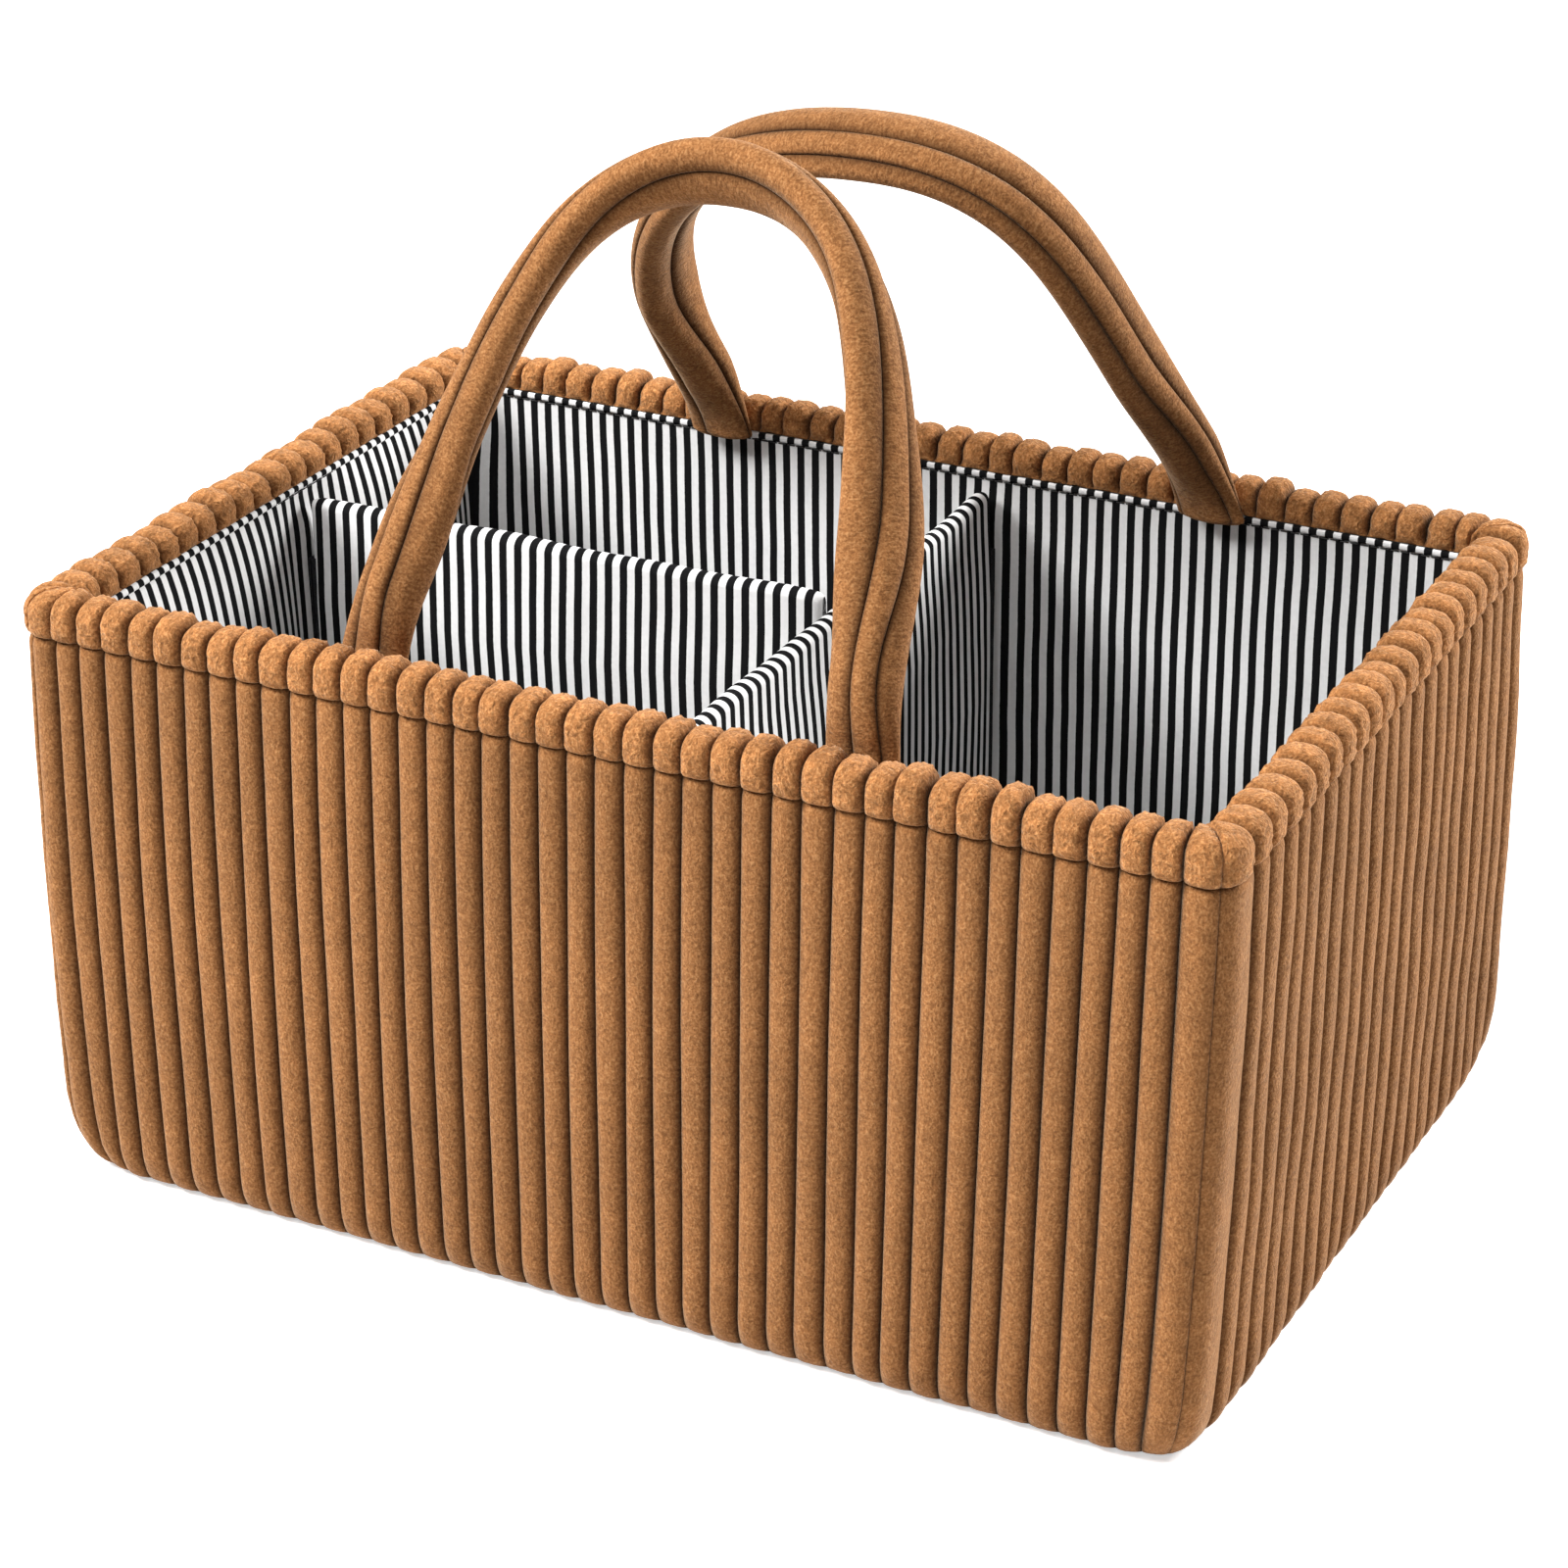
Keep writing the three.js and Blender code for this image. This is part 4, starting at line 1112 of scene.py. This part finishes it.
def make_handle(side, seed):
    """One stuffed handle of lengthwise wales, flattened and pinched at its sewn ends."""
    size = handles()

    def own(name):
        return getattr(size, f"{side}_{name}")

    rise, wide, thin = own("rise"), own("wide"), own("thin")
    pivot = PIVOTS[f"{side}_handle"]
    turn = 0.0 if side == "front" else math.pi
    right_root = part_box(f"{side}_handle_right_root")
    left_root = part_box(f"{side}_handle_left_root")
    half = (right_root[0].x + right_root[1].x - left_root[0].x - left_root[1].x) / 4
    shift = pivot.x * math.cos(turn)
    tilt, sway = own("tilt") * math.cos(turn), own("sway") * math.cos(turn)
    middle, run, root_run = handle_path(half, rise, own("roundness"), own("waist"), tilt, sway)
    at_left = middle[:, 0] * math.cos(turn) < 0
    near_root = np.clip((pivot.z + SPLAY_START - middle[:, 2]) / SPLAY_DROP, 0, 1) ** 1.5
    middle[:, 0] += own("splay") * math.cos(turn) * at_left * near_root
    total = run[-1]
    rows = len(run) - 1
    columns = size.lobes * POINTS_PER_LOBE
    tangent = np.gradient(middle, run, axis=0)
    tangent /= np.linalg.norm(tangent, axis=1)[:, None]
    outward = np.array([0, -math.cos(size.lean), math.sin(size.lean)])
    across_axis = np.cross(tangent, outward)
    across_axis /= np.linalg.norm(across_axis, axis=1)[:, None]
    normal_axis = np.cross(across_axis, tangent)
    from_end = np.minimum(run, total - run)
    rooted = smooth_step(from_end / root_run)
    level_axis = np.sign(across_axis[:, :1]) * (1, 0, 0)
    across_axis = level_axis + (across_axis - level_axis) * rooted[:, None]
    settled = smooth_step((from_end - root_run) / (SETTLE_SHARE * rise))
    wide_here = size.root_width + (size.knuckle_width - size.root_width) * rooted
    wide_here = wide_here + (wide - size.knuckle_width) * settled
    thin_here = size.root_thickness + (size.knuckle_radius - size.root_thickness) * rooted
    thin_here = thin_here + (thin - size.knuckle_radius) * settled
    closing = np.sqrt(np.clip(1 - (1 - from_end / size.root_close).clip(0, 1) ** 2, 0.0004, 1))
    share = run / total
    turn_here = settled * along_handle(share, own("turns"))
    lobe_turn = along_handle(share, own("wales"))
    broad = (2 * math.pi - size.narrow_lobe) / (size.lobes - 1)
    lobe_width = np.array([size.narrow_lobe] + [broad] * (size.lobes - 1))
    lobe_start = np.cumsum(lobe_width) - lobe_width
    stuffing = ripples(seed, 6, 0.03, 0.08)
    lobe_waver = ripples(seed + 7, 5, 0.04, 0.1)

    def place(column, row):
        lobe = np.minimum(column // POINTS_PER_LOBE, size.lobes - 1)
        t = np.sin(((column - lobe * POINTS_PER_LOBE) * 2 / POINTS_PER_LOBE - 1) * math.pi / 2)
        crest = np.sqrt(np.clip(1 - np.abs(t) ** WALE_BLUNTNESS, 0, 1))
        around = lobe_start[lobe] + lobe_width[lobe] * (1 + t) / 2
        angle = around + lobe_turn[row] + 0.05 * lobe_waver(run[row], 0.02 * lobe) * crest
        depth = size.lobe_depth * (ROOT_GROOVE + (1 - ROOT_GROOVE) * rooted[row]) * (1 - crest)
        puff = 1 + 0.025 * stuffing(run[row], 0.03 * np.cos(angle))
        a = (wide_here[row] * puff - depth) * closing[row] * np.cos(angle)
        b = (thin_here[row] * puff - depth) * closing[row] * np.sin(angle)
        cosine, sine = np.cos(turn_here[row]), np.sin(turn_here[row])
        across = a * cosine - b * sine
        out = a * sine + b * cosine
        points = middle[row] + across_axis[row] * across[:, None] + normal_axis[row] * out[:, None]
        points[:, 0] += shift
        uv = np.column_stack((around * (wide + thin) / 2, run[row]))
        # The crest share is low in the grooves between the lobes, where the pile material paints shade
        return turned(points, turn), uv, crest

    piece = add_cloth(f"{side}_handle_grip", columns, rows)
    shape_cloth(piece, place, columns, rows)
    close_cloth(piece)
    dress(piece, handle_pile(), None)
    nodes = [f"{side}_handle_{part}" for part in ("cover", "core", "left_root", "right_root")]
    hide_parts(*nodes)
    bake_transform(piece)


class CADDY_OT_handles(bpy.types.Operator):
    """Adds the two stuffed handles"""

    bl_idname = "caddy.handles"
    bl_label = "Stuffed Handles"
    bl_options = {"REGISTER", "UNDO"}

    def execute(self, context):
        make_handle("front", 81)
        make_handle("back", 91)
        return {"FINISHED"}


# Stage

CAMERA_AZIMUTH = math.radians(27.405)
CAMERA_ELEVATION = math.radians(26.889)
CAMERA_ROLL = math.radians(-0.678)
CAMERA_DISTANCE = 1.20673
CAMERA_TARGET = Vector((0, 0, 0.090))
CAMERA_LENS = 90.623
CAMERA_SHIFT = (-0.0039, 0.0446)

# Lights: name, azimuth from the front to the right, elevation, diameter and power
LIGHTS = (
    ("left_light", -58, 45, 0.9, 90),
    ("right_light", 143, 23, 0.9, 88),
    ("front_light", -12, 65, 1.2, 27),
)
LIGHT_DISTANCE = 2.3
WORLD_STRENGTH = 0.10
FLOOR_LIFT = 0.55


class CADDY_OT_stage(bpy.types.Operator):
    """Adds the pale floor, the soft studio lights and the camera"""

    bl_idname = "caddy.stage"
    bl_label = "Stage"
    bl_options = {"REGISTER", "UNDO"}

    def execute(self, context):
        add_floor()
        add_world()
        for name, azimuth, elevation, size, power in LIGHTS:
            add_soft_light(name, azimuth, elevation, size, power)
        add_camera()
        context.scene.view_settings.view_transform = "Standard"
        return {"FINISHED"}


def add_floor():
    clear_selection()
    bpy.ops.mesh.primitive_plane_add(size=12, location=(0, 0, -0.0002))
    floor = bpy.context.object
    floor.name = "studio_floor"
    bpy.ops.object.transform_apply(location=True, rotation=True, scale=True)
    material, shader, add, link = new_material("pale_floor", 0.9)
    shader.inputs["Base Color"].default_value = (0.80, 0.80, 0.80, 1)
    shader.inputs["Specular IOR Level"].default_value = 0.1
    path = add("LightPath").outputs
    seen = maths(add, "MAXIMUM", path["Is Camera Ray"], path["Is Glossy Ray"])
    shader.inputs["Emission Color"].default_value = (1, 1, 1, 1)
    link(maths(add, "MULTIPLY", seen, FLOOR_LIFT), shader.inputs["Emission Strength"])
    floor.data.materials.append(material)


def add_world():
    world = bpy.data.worlds.new("soft_room")
    world.use_nodes = True
    background = world.node_tree.nodes["Background"]
    background.inputs["Color"].default_value = (1, 1, 1, 1)
    background.inputs["Strength"].default_value = WORLD_STRENGTH
    bpy.context.scene.world = world


def add_soft_light(name, azimuth, elevation, size, power):
    turn, rise = math.radians(azimuth), math.radians(elevation)
    away = Vector((math.sin(turn) * math.cos(rise), -math.cos(turn) * math.cos(rise), math.sin(rise)))
    clear_selection()
    bpy.ops.object.light_add(type="AREA", location=Vector((0, 0, 0.1)) + LIGHT_DISTANCE * away)
    light = bpy.context.object
    light.name = name
    light.data.shape = "DISK"
    light.data.size = size
    light.data.energy = power
    light.rotation_euler = away.to_track_quat("Z", "Y").to_euler()


def add_camera():
    clear_selection()
    bpy.ops.object.camera_add()
    camera = bpy.context.object
    camera.name = "photo_camera"
    azimuth, elevation = CAMERA_AZIMUTH, CAMERA_ELEVATION
    back = Vector((
        math.sin(azimuth) * math.cos(elevation),
        -math.cos(azimuth) * math.cos(elevation),
        math.sin(elevation),
    ))
    right = Vector((math.cos(azimuth), math.sin(azimuth), 0))
    up = back.cross(right)
    turn = Matrix.Rotation(CAMERA_ROLL, 3, back)
    right, up = turn @ right, turn @ up
    place = Matrix((right, up, back)).transposed().to_4x4()
    place.translation = CAMERA_TARGET + back * CAMERA_DISTANCE
    camera.matrix_world = place
    camera.data.lens = CAMERA_LENS
    camera.data.sensor_width = 36
    camera.data.shift_x, camera.data.shift_y = CAMERA_SHIFT
    bpy.context.scene.camera = camera


class CADDY_PT_panel(bpy.types.Panel):
    """Lists the caddy's pieces"""

    bl_idname = "CADDY_PT_panel"
    bl_label = "Corduroy Caddy"
    bl_space_type = "VIEW_3D"
    bl_region_type = "UI"
    bl_category = "Caddy"

    def draw(self, context):
        for operator in OPERATORS:
            self.layout.operator(operator.bl_idname)
        for group in (walls(), lining(), handles(), colours()):
            box = self.layout.box()
            for name in group.bl_rna.properties.keys():
                if name not in ("rna_type", "name"):
                    box.prop(group, name)


OPERATORS = (
    CADDY_OT_walls,
    CADDY_OT_base,
    CADDY_OT_lining,
    CADDY_OT_hem_stitches,
    CADDY_OT_dividers,
    CADDY_OT_tapes_and_boards,
    CADDY_OT_handles,
    CADDY_OT_stage,
)
GROUPS = {
    "caddy_walls": CaddyWallSizes,
    "caddy_lining": CaddyLiningSizes,
    "caddy_handles": CaddyHandleSizes,
    "caddy_colours": CaddyColours,
}


def register():
    for group in GROUPS.values():
        bpy.utils.register_class(group)
    for name, group in GROUPS.items():
        setattr(bpy.types.Scene, name, PointerProperty(type=group))
    for operator in OPERATORS:
        bpy.utils.register_class(operator)
    bpy.utils.register_class(CADDY_PT_panel)


def unregister():
    bpy.utils.unregister_class(CADDY_PT_panel)
    for operator in reversed(OPERATORS):
        bpy.utils.unregister_class(operator)
    for name, group in reversed(list(GROUPS.items())):
        delattr(bpy.types.Scene, name)
        bpy.utils.unregister_class(group)


def main():
    register()
    bpy.ops.caddy.walls()
    bpy.ops.caddy.base()
    bpy.ops.caddy.lining()
    bpy.ops.caddy.hem_stitches()
    bpy.ops.caddy.dividers()
    bpy.ops.caddy.tapes_and_boards()
    bpy.ops.caddy.handles()
    bpy.ops.caddy.stage()


if __name__ == "__main__":
    main()
